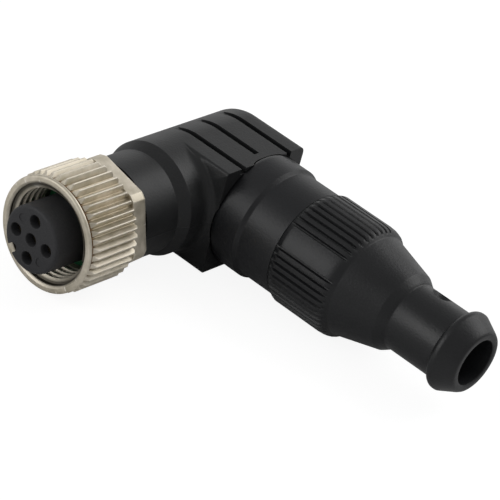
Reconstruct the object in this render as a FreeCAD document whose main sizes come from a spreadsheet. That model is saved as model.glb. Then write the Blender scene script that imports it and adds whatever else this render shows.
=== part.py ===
"""Right-angle M12 cable socket with five contacts, screw terminals and a gland nut.

The mating axis runs along -Y and the cable axis along +X. The two meet at the elbow.
The origin is the centre of the coupling nut's mouth, on the mating axis, with +Z up.
All sizes are in millimetres.
"""

import FreeCAD, Part
import math
import os

import Sketcher

Vector = FreeCAD.Vector
Rotation = FreeCAD.Rotation

# The driving sizes, one cell each in the sheet.
DRIVING_SIZES = {
    # elbow housing
    "elbow_reach": 27.8,
    "elbow_radius": 7.1,
    "neck_flange": 10.7,
    "neck_collar_start": 12.2,
    "neck_collar_radius": 6.36,
    "box_half_width": 7.15,
    "box_length": 8.0,
    "near_corner_radius": 0.8,
    "far_corner_radius": 0.7,
    "finger_groove_width": 0.9,
    "finger_groove_depth": 0.7,
    "finger_groove_pitch": 4.1,
    "middle_groove_stop": 1.65,
    "corner_bore_radius": 4.3,
    # coupling nut
    "nut_length": 10.15,
    "nut_play": 0.2,
    "hex_width": 13.0,
    "hex_length": 2.25,
    "hex_corner_radius": 7.15,
    "hex_chamfer": 0.4,
    "hex_turn": 18.5,
    "knurl_stand": 0.25,
    "knurl_depth": 0.6,
    "knurl_count": 42,
    "knurl_chamfer": 0.5,
    "ring_radius": 6.85,
    "ring_length": 0.4,
    "ring_round": 0.25,
    "thread_radius": 6.0,
    "mouth_radius": 6.17,
    "nut_web": 2.4,
    # contact insert
    "plug_radius": 4.15,
    "plug_stand": 2.4,
    "plug_round": 0.35,
    "shaft_radius": 4.85,
    "flange_radius": 5.3,
    "flange_thickness": 1.0,
    "seal_thickness": 1.15,
    "seal_seat_depth": 0.45,
    "insert_rear": 6.2,
    "pin_circle_radius": 2.5,
    "entry_radius": 0.8,
    "entry_depth": 1.2,
    "chamber_radius": 1.0,
    "key_width": 1.1,
    "key_bottom": 2.95,
    "key_turn": 225,
    # socket contacts
    "socket_radius": 0.95,
    "socket_bore": 0.52,
    "socket_depth": 7.0,
    "socket_length": 9.0,
    "socket_slit": 0.25,
    "tail_radius": 0.45,
    "tail_bend": 1.2,
    # terminals
    "block_radius": 4.85,
    "block_setback": 0.5,
    "block_length": 5.1,
    "nose_length": 4.6,
    "clamp_rear_wall": 0.7,
    "clamp_front_wall": 0.6,
    "nose_half_width": 1.7,
    "wire_circle_radius": 2.75,
    "clamp_width": 2.4,
    "clamp_length": 3.4,
    "clamp_below": 1.05,
    "clamp_above": 1.55,
    "clamp_bore": 0.85,
    "screw_radius": 0.7,
    "screw_head_radius": 0.95,
    "screw_head_height": 0.5,
    # barrel
    "spigot_radius": 5.8,
    "spigot_length": 3.9,
    "barrel_bore": 4.95,
    "nest_depth": 0.7,
    "collar_stand": 0.4,
    "collar_length": 4.05,
    "collar_step_length": 0.9,
    "collar_round": 1.0,
    "barrel_length": 5.6,
    "gland_thread_radius": 5.95,
    "gland_thread_length": 7.25,
    "barrel_seal_width": 1.1,
    "barrel_seal_depth": 0.45,
    "snap_setback": 1.4,
    "snap_width": 0.55,
    "snap_height": 0.18,
    "cage_stop_radius": 4.2,
    "cage_stop_width": 0.8,
    # clamping cage, grommet and pressure ring
    "cage_wall": 0.78,
    "cage_root": 2.2,
    "cage_reach": 3.95,
    "cage_taper_length": 3.8,
    "cage_tip_radius": 3.9,
    "finger_count": 12,
    "finger_length": 8.2,
    "finger_gap": 0.6,
    "grommet_length": 9.5,
    "cable_radius": 3.0,
    "pressure_ring_radius": 5.25,
    "pressure_ring_length": 3.0,
    "pressure_ring_setback": 1.6,
    # gland nut
    "grip_stand": 0.4,
    "grip_overrun": 0.8,
    "grip_rim": 0.65,
    "grip_valley_radius": 7.05,
    "grip_valley_width": 0.55,
    "grip_panel_angle": 57.3,
    "grip_panel_half_angle": 12.8,
    "grip_valleys": 10,
    "shoulder_length": 1.85,
    "cone_start_radius": 6.55,
    "cone_length": 5.1,
    "cone_end_radius": 5.13,
    "tail_bevel": 0.9,
    "tail_outer_radius": 4.35,
    "tail_length": 6.5,
    "flare_radius": 5.2,
    "flare_rise": 1.35,
    "flare_land": 0.35,
    "flare_length": 2.35,
    "flare_end_radius": 3.95,
    "flare_round": 0.6,
    "pinhole_radius": 0.9,
    "pinhole_sink_radius": 1.4,
    "pinhole_setback": 2.85,
    "pinhole_turn": -26,
    # clearances
    "running_gap": 0.08,
    "seat_gap": 0.05,
    "fit_gap": 0.1,
    "nest_gap": 0.25,
}

doc = FreeCAD.newDocument("AngledCableSocket")
sheet = doc.addObject("Spreadsheet::Sheet", "Sizes")


class Size:
    """A length that knows its number and the sheet formula that it comes from."""

    def __init__(self, value, formula):
        self.value = float(value)
        self.formula = formula

    def joined(self, other, sign, value):
        return Size(value, "(%s %s %s)" % (self.formula, sign, other.formula))

    def __add__(self, other):
        other = as_size(other)
        return self.joined(other, "+", self.value + other.value)

    def __radd__(self, other):
        return as_size(other) + self

    def __sub__(self, other):
        other = as_size(other)
        return self.joined(other, "-", self.value - other.value)

    def __rsub__(self, other):
        return as_size(other) - self

    def __mul__(self, other):
        other = as_size(other)
        return self.joined(other, "*", self.value * other.value)

    def __rmul__(self, other):
        return as_size(other) * self

    def __truediv__(self, other):
        other = as_size(other)
        return self.joined(other, "/", self.value / other.value)

    def __neg__(self):
        return as_size(0) - self


def as_size(number):
    """Let a plain number stand beside a Size."""
    if isinstance(number, Size):
        return number
    return Size(number, "%.9g" % number if number >= 0 else "(%.9g)" % number)


def fill_sheet():
    """Write the driving sizes into the sheet and return them as Size objects."""
    named = {}
    for row, (name, value) in enumerate(DRIVING_SIZES.items(), start=1):
        sheet.set("A%d" % row, name)
        sheet.set("B%d" % row, str(value))
        sheet.setAlias("B%d" % row, name)
        named[name] = Size(value, "Sizes.%s" % name)
    doc.recompute()
    return named


size = fill_sheet()


def bind(thing, prop, value):
    """Tie a property to the sheet, or set it where it is a plain number."""
    value = as_size(value)
    thing.setExpression(prop, value.formula)


# The axis of a turned piece is its own Z. These frames point that Z along the part's axes.
MATING_FRAME = Rotation(Vector(1, 0, 0), Vector(0, 0, 1), Vector(0, -1, 0), "ZXY")
CABLE_FRAME = Rotation(Vector(0, 0, 1), Vector(0, -1, 0), Vector(1, 0, 0), "ZXY")
PART_FRAME = Rotation()


def new_body(label, rotation, offset=(0, 0, 0)):
    """Start a sub-part whose own origin is the elbow's corner, moved by offset."""
    body = doc.addObject("PartDesign::Body", label)
    body.Label = label
    body.Placement = FreeCAD.Placement(Vector(), rotation)
    bind(body, "Placement.Base.x", offset[0])
    bind(body, "Placement.Base.y", size["elbow_reach"] + offset[1])
    bind(body, "Placement.Base.z", offset[2])
    return body


def origin_feature(body, role):
    """Find one of the body's own planes or axes."""
    for feature in body.Origin.OriginFeatures:
        if feature.Role == role:
            return feature
    raise ValueError("no %s in %s" % (role, body.Label))


def new_sketch(body, role, name, height=0, turn=0):
    """Start a sketch on one of the body's planes, raised by height and turned in it."""
    sketch = body.newObject("Sketcher::SketchObject", name)
    sketch.AttachmentSupport = [(origin_feature(body, role), "")]
    sketch.MapMode = "FlatFace"
    turn = as_size(turn)
    sketch.AttachmentOffset = FreeCAD.Placement(Vector(), Rotation(Vector(0, 0, 1), turn.value))
    bind(sketch, "AttachmentOffset.Base.z", height)
    if turn.value:
        bind(sketch, "AttachmentOffset.Rotation.Angle", turn)
    return sketch


def pin_point(sketch, geometry, point, across, up):
    """Fix one point of a sketch at its distances from the sketch's origin."""
    for kind, axis, value in (("DistanceX", -2, across), ("DistanceY", -1, up)):
        value = as_size(value)
        if value.formula == "0":
            sketch.addConstraint(Sketcher.Constraint("PointOnObject", geometry, point, axis))
            continue
        index = sketch.addConstraint(
            Sketcher.Constraint(kind, -1, 1, geometry, point, value.value)
        )
        sketch.setExpression("Constraints[%d]" % index, value.formula)


def arc_between(start, end, radius):
    """A short arc from start to end. Its centre is on the left where radius is positive."""
    chord = end - start
    left = Vector(-chord.y, chord.x, 0).normalize()
    height = math.sqrt(max(radius**2 - chord.Length**2 / 4, 0.0))
    centre = (start + end) / 2 + left * math.copysign(height, radius)
    first, last = (start, end) if radius > 0 else (end, start)
    angles = [math.atan2(p.y - centre.y, p.x - centre.x) for p in (first, last)]
    if angles[1] <= angles[0]:
        angles[1] += 2 * math.pi
    circle = Part.Circle(centre, Vector(0, 0, 1), abs(radius))
    return Part.ArcOfCircle(circle, angles[0], angles[1])


def draw_outline(sketch, corners):
    """Draw a closed outline. A corner with a third value starts an arc of that radius."""
    corners = [tuple(as_size(value) for value in corner) for corner in corners]
    points = [Vector(corner[0].value, corner[1].value, 0) for corner in corners]
    ends = []
    for index, corner in enumerate(corners):
        start, end = points[index], points[(index + 1) % len(points)]
        if len(corner) == 2:
            geometry = sketch.addGeometry(Part.LineSegment(start, end))
            ends.append((geometry, 1, 2))
        else:
            radius = corner[2].value
            geometry = sketch.addGeometry(arc_between(start, end, radius))
            ends.append((geometry, 1, 2) if radius > 0 else (geometry, 2, 1))
    for index, corner in enumerate(corners):
        geometry, head, tail = ends[index]
        following, next_head, _ = ends[(index + 1) % len(ends)]
        sketch.addConstraint(
            Sketcher.Constraint("Coincident", geometry, tail, following, next_head)
        )
        pin_point(sketch, geometry, head, corner[0], corner[1])
        if len(corner) == 3:
            radius = corner[2] if corner[2].value > 0 else -corner[2]
            number = sketch.addConstraint(
                Sketcher.Constraint("Radius", geometry, radius.value)
            )
            sketch.setExpression("Constraints[%d]" % number, radius.formula)
    return sketch


def draw_circle(sketch, across, up, radius):
    """Draw one circle at its place in a sketch."""
    across, up, radius = as_size(across), as_size(up), as_size(radius)
    centre = Vector(across.value, up.value, 0)
    geometry = sketch.addGeometry(Part.Circle(centre, Vector(0, 0, 1), radius.value))
    pin_point(sketch, geometry, 3, across, up)
    number = sketch.addConstraint(Sketcher.Constraint("Radius", geometry, radius.value))
    sketch.setExpression("Constraints[%d]" % number, radius.formula)
    return sketch


def box_corners(left, right, bottom, top):
    """The four corners of an upright rectangle."""
    return [(left, bottom), (right, bottom), (right, top), (left, top)]


def turn_about(body, kind, name, role, axis, corners):
    """Revolve an outline about an axis of its sketch, adding or cutting material."""
    sketch = draw_outline(new_sketch(body, role, name + "_outline"), corners)
    feature = body.newObject("PartDesign::" + kind, name)
    feature.Profile = sketch
    feature.ReferenceAxis = (sketch, [axis])
    feature.Angle = 360
    return feature


def turned(body, name, corners):
    """Add a turned shape about the piece's own Z from (radius, height) corners."""
    return turn_about(body, "Revolution", name, "XZ_Plane", "V_Axis", corners)


def turned_away(body, name, corners):
    """Cut a turned shape about the piece's own Z."""
    return turn_about(body, "Groove", name, "XZ_Plane", "V_Axis", corners)


def push(body, kind, name, sketch, length, away=True, both_ways=False):
    """Pad or pocket a sketch along its normal, or the other way, or half to each side."""
    feature = body.newObject("PartDesign::" + kind, name)
    feature.Profile = sketch
    if both_ways:
        feature.SideType = "Symmetric"
    feature.Reversed = away if kind == "Pocket" else not away
    bind(feature, "Length", length)
    return feature


def ring_of(body, name, feature, count, about="Z_Axis", sweep=360):
    """Repeat a feature round one of the body's axes."""
    pattern = body.newObject("PartDesign::PolarPattern", name)
    pattern.Originals = [feature]
    pattern.Axis = (origin_feature(body, about), [""])
    bind(pattern, "Angle", sweep)
    bind(pattern, "Occurrences", count)
    body.Tip = pattern
    return pattern


def round_off(body, name, feature, radius, wanted):
    """Fillet the edges of a feature that the function wanted picks."""
    doc.recompute()
    edges = ["Edge%d" % (i + 1) for i, edge in enumerate(feature.Shape.Edges) if wanted(edge)]
    if not edges:
        raise ValueError("no edge for %s" % name)
    fillet = body.newObject("PartDesign::Fillet", name)
    fillet.Base = (feature, edges)
    bind(fillet, "Radius", radius)
    return fillet


def circle_at(radius, height):
    """Pick the circular edges of this radius about Z at this height."""
    radius, height = as_size(radius).value, as_size(height).value

    def wanted(edge):
        if not isinstance(edge.Curve, Part.Circle):
            return False
        centre = edge.Curve.Center
        on_axis = math.hypot(centre.x, centre.y) < 1e-4
        return on_axis and abs(edge.Curve.Radius - radius) < 1e-4 and abs(centre.z - height) < 1e-4

    return wanted


# The barrel is as wide as the elbow and the other round pieces stand a little proud.
knurl_radius = size["elbow_radius"] + size["knurl_stand"]
collar_radius = size["elbow_radius"] + size["collar_stand"]
barrel_radius = size["elbow_radius"]
grip_radius = size["elbow_radius"] + size["grip_stand"]

# Stations along the mating axis, from the elbow's corner towards the mating face.
nut_rear = size["elbow_reach"] - size["nut_length"]
neck_end = nut_rear - size["nut_play"]
web_front = nut_rear + size["nut_web"]
flange_rear = web_front + size["nut_play"] + size["seat_gap"]
flange_front = flange_rear + size["flange_thickness"]
plug_start = flange_front + size["seal_thickness"] + size["seat_gap"]
plug_face = size["elbow_reach"] + size["plug_stand"]
socket_front = plug_face - size["entry_depth"]

# Stations along the cable axis, from the elbow's corner towards the cable.
collar_rear = size["box_length"] - size["nest_depth"]
collar_front = collar_rear + size["collar_length"]
spigot_end = collar_rear - size["spigot_length"]
bore_bottom = spigot_end - 0.6
block_rear = spigot_end + size["block_setback"]
block_front = block_rear + size["block_length"]
barrel_end = collar_front + size["barrel_length"]
tube_end = barrel_end + size["gland_thread_length"]
cage_rear = barrel_end - size["cage_root"]
gland_front = barrel_end + size["fit_gap"]

# The wire clamps: four round the block and the fifth in its nose.
ring_clamp_rear = block_rear + size["clamp_rear_wall"]
nose_clamp_rear = block_front + size["clamp_front_wall"]
clamp_gap = size["seat_gap"]

# Pin places in the mating face, across X and up Z: four on the circle and one central.
PIN_PLACES = [(1, 0), (0, 1), (-1, 0), (0, -1), (0, 0)]


def make_elbow_housing():
    """Moulded elbow: round neck and back, a square end with finger grooves, two bores."""
    body = new_body("elbow_housing", PART_FRAME)
    radius, half = size["elbow_radius"], size["box_half_width"]
    chamfer_end = size["neck_collar_start"]
    turn_about(
        body, "Revolution", "neck_and_back", "XY_Plane", "V_Axis",
        [
            (0, half),
            (radius, half),
            (radius, -size["neck_flange"]),
            (size["neck_collar_radius"], -chamfer_end),
            (size["neck_collar_radius"], -neck_end),
            (0, -neck_end),
        ],
    )
    corner = size["near_corner_radius"]
    end_section = draw_outline(
        new_sketch(body, "YZ_Plane", "end_section"),
        [
            (half, -radius),
            (half, radius),
            (corner - half, radius, corner),
            (-half, radius - corner),
            (-half, corner - radius, corner),
            (corner - half, -radius),
        ],
    )
    square_end = push(body, "Pad", "square_end", end_section, size["box_length"])

    def far_rim(edge):
        box = edge.BoundBox
        flat = box.YLength < 1e-4 and abs(box.YMax - half.value) < 1e-4
        return flat and box.XMax - box.XMin > 1e-3 and box.XMin < size["box_length"].value - 0.1

    round_off(body, "far_rim", square_end, size["far_corner_radius"], far_rim)

    # Above, the outer two grooves run out at the end. Below, all three stop short of it.
    side, depth = size["finger_groove_width"] / 2, size["finger_groove_depth"]
    short_stop = size["box_length"] - size["middle_groove_stop"]
    faces = {
        "upper_finger_grooves": (radius - depth, size["box_length"] + 1),
        "lower_finger_grooves": (-radius - depth, short_stop),
    }
    for name, (level, outer_stop) in faces.items():
        grooves = new_sketch(body, "XY_Plane", name + "_outline", level)
        for place in (-1, 0, 1):
            middle = place * size["finger_groove_pitch"]
            stop = outer_stop if place else short_stop
            draw_outline(grooves, box_corners(-radius, stop, middle - side, middle + side))
        push(body, "Pocket", name, grooves, depth * 2)

    bore = size["spigot_radius"] + size["fit_gap"]
    dish_radius = size["collar_round"] + size["nest_gap"]
    dish_floor = collar_rear - size["nest_gap"]
    dish_inner = collar_radius - size["collar_round"]
    dish_outer = dish_inner + dish_radius
    snap_rear = collar_rear - size["snap_setback"] - size["seat_gap"]
    snap_front = snap_rear + size["snap_width"] + 2 * size["seat_gap"]
    turn_about(
        body, "Groove", "cable_bore", "XY_Plane", "H_Axis",
        [
            (0, 0),
            (0, size["corner_bore_radius"]),
            (bore_bottom, size["corner_bore_radius"]),
            (bore_bottom, bore),
            (snap_rear, bore),
            (snap_rear, bore + size["snap_height"]),
            (snap_front, bore + size["snap_height"]),
            (snap_front, bore),
            (dish_floor, bore),
            (dish_floor, dish_inner, -dish_radius),
            (dish_floor + dish_radius, dish_outer),
            (dish_floor + dish_radius + 1, dish_outer),
            (dish_floor + dish_radius + 1, 0),
        ],
    )
    insert_bore = size["shaft_radius"] + size["seat_gap"]
    turn_about(
        body, "Groove", "insert_bore", "XY_Plane", "V_Axis",
        [
            (0, insert_bore),
            (insert_bore, insert_bore),
            (insert_bore, -neck_end - 1),
            (0, -neck_end - 1),
        ],
    )
    return body


def make_coupling_nut():
    """Turned M12 nut: hexagon at the rear, ridged grip, plain ring at the mouth."""
    body = new_body("coupling_nut", MATING_FRAME)
    mouth = size["elbow_reach"]
    knurl_start = nut_rear + size["hex_length"]
    ring_start = mouth - size["ring_length"]
    hole = size["shaft_radius"] + size["running_gap"]
    hex_face = size["hex_width"] / 2
    shell = turned(
        body, "shell",
        [
            (hole, nut_rear),
            (hex_face - 0.2, nut_rear),
            (hex_face - 0.2, knurl_start),
            (knurl_radius, knurl_start),
            (knurl_radius, ring_start - size["knurl_chamfer"]),
            (size["ring_radius"], ring_start),
            (size["ring_radius"], mouth),
            (size["mouth_radius"], mouth),
            (size["thread_radius"], mouth - (size["mouth_radius"] - size["thread_radius"])),
            (size["thread_radius"], web_front),
            (hole, web_front),
        ],
    )
    lip = round_off(body, "mouth_round", shell, size["ring_round"],
                    circle_at(size["ring_radius"], mouth))
    hexagon = new_sketch(body, "XY_Plane", "hexagon_outline", nut_rear, size["hex_turn"])
    across = hex_face / math.cos(math.pi / 6)
    turns = [math.radians(30 + 60 * step) for step in range(6)]
    draw_outline(hexagon, [(across * math.cos(a), across * math.sin(a)) for a in turns])
    draw_circle(hexagon, 0, 0, hole)
    push(body, "Pad", "hexagon", hexagon, size["hex_length"])
    corner = size["hex_corner_radius"]
    turned_away(
        body, "turned_corners",
        [
            (corner - size["hex_chamfer"], nut_rear),
            (corner, nut_rear + size["hex_chamfer"]),
            (corner, knurl_start),
            (corner + 1, knurl_start),
            (corner + 1, nut_rear),
        ],
    )
    valley_floor = knurl_radius - size["knurl_depth"]
    pitch = knurl_radius * (2 * math.pi) / size["knurl_count"]
    valley = draw_outline(
        new_sketch(body, "XY_Plane", "valley_outline", knurl_start),
        [
            (valley_floor, -pitch * 0.08),
            (knurl_radius + 0.1, -pitch * 0.44),
            (knurl_radius + 0.1, pitch * 0.44),
            (valley_floor, pitch * 0.08),
        ],
    )
    cut = push(body, "Pocket", "valley", valley, ring_start - knurl_start)
    ring_of(body, "knurl", cut, size["knurl_count"])
    return body


def pin_offset(place):
    """Where a contact stands across X and up Z from the mating axis."""
    return size["pin_circle_radius"] * place[0], size["pin_circle_radius"] * place[1]


def make_contact_insert():
    """Moulded carrier: keyed plug, trapping flange and the shaft pressed into the neck."""
    body = new_body("contact_insert", MATING_FRAME)
    seat = size["plug_radius"] - size["seal_seat_depth"]
    blank = turned(
        body, "carrier",
        [
            (0, size["insert_rear"]),
            (size["shaft_radius"], size["insert_rear"]),
            (size["shaft_radius"], flange_rear),
            (size["flange_radius"], flange_rear),
            (size["flange_radius"], flange_front),
            (seat, flange_front),
            (seat, plug_start),
            (size["plug_radius"], plug_start),
            (size["plug_radius"], plug_face),
            (0, plug_face),
        ],
    )
    round_off(body, "plug_nose", blank, size["plug_round"],
              circle_at(size["plug_radius"], plug_face))
    entries = new_sketch(body, "XY_Plane", "entry_circles", plug_face)
    chambers = new_sketch(body, "XY_Plane", "chamber_circles", size["insert_rear"])
    for place in PIN_PLACES:
        across, up = pin_offset(place)
        draw_circle(entries, across, up, size["entry_radius"])
        draw_circle(chambers, across, up, size["chamber_radius"])
    push(body, "Pocket", "entries", entries, size["entry_depth"] + 0.1, away=False)
    push(body, "Pocket", "chambers", chambers, socket_front - size["insert_rear"])
    half = size["key_width"] / 2
    key = draw_outline(
        new_sketch(body, "XY_Plane", "key_outline", plug_face, size["key_turn"]),
        [
            (size["key_bottom"] + half, half, half * 1.02),
            (size["key_bottom"] + half, -half),
            (size["plug_radius"] + 1, -half),
            (size["plug_radius"] + 1, half),
        ],
    )
    push(body, "Pocket", "key", key, plug_face - plug_start, away=False)
    return body


def make_seal_ring():
    """Flat rubber ring at the foot of the plug that the mating socket presses on."""
    body = new_body("seal_ring", MATING_FRAME)
    inner = size["plug_radius"] - size["seal_seat_depth"] + 0.02
    outer = size["flange_radius"] + 0.05
    ring = turned(body, "ring", box_corners(inner, outer, flange_front,
                                            flange_front + size["seal_thickness"]))
    top = flange_front + size["seal_thickness"]
    round_off(body, "ring_round", ring, 0.3, circle_at(outer, top))
    return body


def make_socket_contact(number, place):
    """Slit socket that goes back from the face, turns the corner and ends in a clamp."""
    across, up = pin_offset(place)
    body = new_body("socket_contact_%d" % number, MATING_FRAME, (across, 0, up))
    socket_rear = socket_front - size["socket_length"]
    turned(
        body, "socket",
        [
            (0, socket_rear),
            (size["socket_radius"], socket_rear),
            (size["socket_radius"], socket_front),
            (size["socket_bore"], socket_front),
            (size["socket_bore"], socket_front - size["socket_depth"]),
            (0, socket_front - size["socket_depth"]),
        ],
    )
    slit = draw_outline(
        new_sketch(body, "XZ_Plane", "slit_outline"),
        box_corners(-size["socket_slit"] / 2, size["socket_slit"] / 2,
                    socket_front - size["socket_depth"] / 2, socket_front + 1),
    )
    push(body, "Pocket", "slit", slit, size["socket_radius"] * 4, both_ways=True)
    clamp_rear = nose_clamp_rear if place == (0, 0) else ring_clamp_rear
    tail_end = clamp_rear + size["clamp_length"] - 0.4 - across
    bend = size["tail_bend"]
    corner = across
    section = draw_circle(
        new_sketch(body, "XY_Plane", "tail_section", socket_rear), 0, 0, size["tail_radius"]
    )
    route = new_sketch(body, "XZ_Plane", "tail_route")
    run = route.addGeometry(Part.LineSegment(
        Vector(0, socket_rear.value, 0), Vector(0, (corner + bend).value, 0)))
    turn = route.addGeometry(arc_between(
        Vector(0, (corner + bend).value, 0), Vector(bend.value, corner.value, 0), bend.value))
    leg = route.addGeometry(Part.LineSegment(
        Vector(bend.value, corner.value, 0), Vector(tail_end.value, corner.value, 0)))
    route.addConstraint(Sketcher.Constraint("Coincident", run, 2, turn, 1))
    route.addConstraint(Sketcher.Constraint("Coincident", turn, 2, leg, 1))
    pin_point(route, run, 1, 0, socket_rear)
    pin_point(route, run, 2, 0, corner + bend)
    pin_point(route, leg, 1, bend, corner)
    pin_point(route, leg, 2, tail_end, corner)
    number = route.addConstraint(Sketcher.Constraint("Radius", turn, bend.value))
    route.setExpression("Constraints[%d]" % number, bend.formula)
    pipe = body.newObject("PartDesign::AdditivePipe", "tail")
    pipe.Profile = section
    pipe.Spine = (route, ["Edge1", "Edge2", "Edge3"])
    return body


def make_terminal_block():
    """Insulating block: four clamp pockets round it and the fifth in a nose."""
    body = new_body("terminal_block", CABLE_FRAME)
    turned(body, "round_block", box_corners(0, size["block_radius"], block_rear, block_front))
    nose = draw_outline(
        new_sketch(body, "XY_Plane", "nose_outline", block_front),
        box_corners(-size["nose_half_width"], size["nose_half_width"],
                    -size["nose_half_width"], size["nose_half_width"]),
    )
    push(body, "Pad", "nose", nose, size["nose_length"])
    wide = size["clamp_width"] + 2 * clamp_gap
    floor = size["wire_circle_radius"] - size["clamp_below"] - clamp_gap
    pocket = draw_outline(
        new_sketch(body, "XZ_Plane", "pocket_outline"),
        box_corners(floor, size["block_radius"] + 1, ring_clamp_rear - clamp_gap,
                    ring_clamp_rear + size["clamp_length"] + clamp_gap),
    )
    cut = push(body, "Pocket", "clamp_pocket", pocket, wide, both_ways=True)
    ring_of(body, "clamp_pockets", cut, 4)
    nose_pocket = draw_outline(
        new_sketch(body, "XZ_Plane", "nose_pocket_outline"),
        box_corners(-size["clamp_below"] - clamp_gap, size["nose_half_width"] + 1,
                    nose_clamp_rear - clamp_gap,
                    nose_clamp_rear + size["clamp_length"] + clamp_gap),
    )
    push(body, "Pocket", "nose_pocket", nose_pocket, wide, both_ways=True)
    tail_hole = size["tail_radius"] + size["seat_gap"]
    ring_tails = new_sketch(body, "XY_Plane", "ring_tail_circles", block_rear)
    ring_wires = new_sketch(body, "XY_Plane", "ring_wire_circles", block_front)
    wire_hole = size["clamp_bore"] + size["fit_gap"]
    for place in PIN_PLACES[:4]:
        draw_circle(ring_tails, size["pin_circle_radius"] * place[0],
                    size["pin_circle_radius"] * place[1], tail_hole)
        draw_circle(ring_wires, size["wire_circle_radius"] * place[0],
                    size["wire_circle_radius"] * place[1], wire_hole)
    push(body, "Pocket", "ring_tails", ring_tails, size["clamp_rear_wall"])
    front_wall = block_front - ring_clamp_rear - size["clamp_length"]
    push(body, "Pocket", "ring_wires", ring_wires, front_wall, away=False)
    middle_tail = draw_circle(
        new_sketch(body, "XY_Plane", "middle_tail_circle", block_rear), 0, 0, tail_hole)
    push(body, "Pocket", "middle_tail", middle_tail, nose_clamp_rear - block_rear)
    nose_front = block_front + size["nose_length"]
    middle_wire = draw_circle(
        new_sketch(body, "XY_Plane", "middle_wire_circle", nose_front), 0, 0, wire_hole)
    push(body, "Pocket", "middle_wire", middle_wire,
         nose_front - nose_clamp_rear - size["clamp_length"], away=False)
    return body


def clamp_place(step):
    """Turn, rear station and distance from the cable axis of one clamp."""
    if step == 4:
        return 0, nose_clamp_rear, as_size(0)
    return 90 * step, ring_clamp_rear, size["wire_circle_radius"]


def clamp_offset(turn, distance):
    """Move from the cable axis outwards: up Z at turn 0, towards -Y at turn 90."""
    up = round(math.cos(math.radians(turn)))
    near = round(math.sin(math.radians(turn)))
    return -near * distance, up * distance


def make_wire_clamp(step):
    """Brass block with a wire bore along it and a tapped hole from outside."""
    turn, rear, distance = clamp_place(step)
    near, up = clamp_offset(turn, distance)
    frame = CABLE_FRAME * Rotation(Vector(0, 0, 1), turn)
    body = new_body("wire_clamp_%d" % (step + 1), frame, (rear, near, up))
    half = size["clamp_width"] / 2
    section = draw_outline(
        new_sketch(body, "XY_Plane", "block_section"),
        box_corners(-size["clamp_below"], size["clamp_above"], -half, half),
    )
    push(body, "Pad", "block", section, size["clamp_length"])
    wire = draw_circle(
        new_sketch(body, "XY_Plane", "wire_circle", size["clamp_length"]),
        0, 0, size["clamp_bore"])
    push(body, "Pocket", "wire_bore", wire, size["clamp_length"], away=False)
    tapped = draw_circle(
        new_sketch(body, "YZ_Plane", "tapped_circle"),
        0, size["clamp_length"] / 2, size["screw_radius"] + 0.03)
    push(body, "Pocket", "tapped_hole", tapped, size["clamp_above"] + 1)
    return body


def make_terminal_screw(step):
    """Slotted screw that stands in the clamp's tapped hole."""
    turn, rear, distance = clamp_place(step)
    near, up = clamp_offset(turn, distance)
    frame = CABLE_FRAME * Rotation(Vector(0, 0, 1), turn) * Rotation(Vector(0, 1, 0), 90)
    place = (rear + size["clamp_length"] / 2, near, up)
    body = new_body("terminal_screw_%d" % (step + 1), frame, place)
    head = size["clamp_above"] + size["seat_gap"]
    top = head + size["screw_head_height"] - size["seat_gap"]
    turned(
        body, "screw",
        [
            (0, size["clamp_bore"] - 0.2),
            (size["screw_radius"], size["clamp_bore"] - 0.2),
            (size["screw_radius"], head),
            (size["screw_head_radius"], head),
            (size["screw_head_radius"], top),
            (0, top),
        ],
    )
    slot = draw_outline(
        new_sketch(body, "XZ_Plane", "slot_outline"),
        box_corners(-0.12, 0.12, top - 0.25, top + 0.1),
    )
    push(body, "Pocket", "slot", slot, size["screw_head_radius"] * 4, both_ways=True)
    return body


def make_barrel():
    """Round body: spigot with seal groove, snap bead, nested collar, threaded tube."""
    body = new_body("barrel", CABLE_FRAME)
    spigot = size["spigot_radius"]
    bore = size["barrel_bore"]
    seal_rear = spigot_end + 0.6
    seal_front = seal_rear + size["barrel_seal_width"] + 2 * size["seat_gap"]
    bead = collar_rear - size["snap_setback"]
    bead_end = bead + size["snap_width"]
    bead_radius = spigot + size["snap_height"]
    bead_slope = size["snap_width"] / 4
    step_end = collar_front + size["collar_step_length"]
    step_middle = (collar_front + step_end) / 2
    step_drop = collar_radius - barrel_radius
    step_run = size["collar_step_length"]
    step_radius = (step_drop * step_drop + step_run * step_run) / (4 * step_drop)
    stop_rear = cage_rear - size["cage_stop_width"] - size["seat_gap"]
    stop_front = cage_rear - size["seat_gap"]
    turned(
        body, "shell",
        [
            (bore, spigot_end),
            (spigot, spigot_end),
            (spigot, seal_rear),
            (spigot - size["barrel_seal_depth"], seal_rear),
            (spigot - size["barrel_seal_depth"], seal_front),
            (spigot, seal_front),
            (spigot, bead),
            (bead_radius, bead + bead_slope),
            (bead_radius, bead_end - bead_slope),
            (spigot, bead_end),
            (spigot, collar_rear),
            (collar_radius - size["collar_round"], collar_rear, size["collar_round"]),
            (collar_radius, collar_rear + size["collar_round"]),
            (collar_radius, collar_front, step_radius),
            ((collar_radius + barrel_radius) / 2, step_middle, -step_radius),
            (barrel_radius, step_end),
            (barrel_radius, barrel_end),
            (size["gland_thread_radius"], barrel_end),
            (size["gland_thread_radius"], tube_end),
            (bore, tube_end),
            (bore, stop_front),
            (size["cage_stop_radius"], stop_front),
            (size["cage_stop_radius"], stop_rear),
            (bore, stop_rear),
        ],
    )
    return body


def make_barrel_seal():
    """Rubber ring in the spigot's groove."""
    body = new_body("barrel_seal", CABLE_FRAME)
    inner = size["spigot_radius"] - size["barrel_seal_depth"] + 0.03
    outer = size["spigot_radius"] + size["fit_gap"] - 0.03
    rear = spigot_end + 0.6 + size["seat_gap"]
    ring = turned(body, "ring", box_corners(inner, outer, rear, rear + size["barrel_seal_width"]))

    def outer_rims(edge):
        front = circle_at(outer, rear + size["barrel_seal_width"])
        return front(edge) or circle_at(outer, rear)(edge)

    round_off(body, "ring_round", ring, 0.2, outer_rims)
    return body


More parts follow.
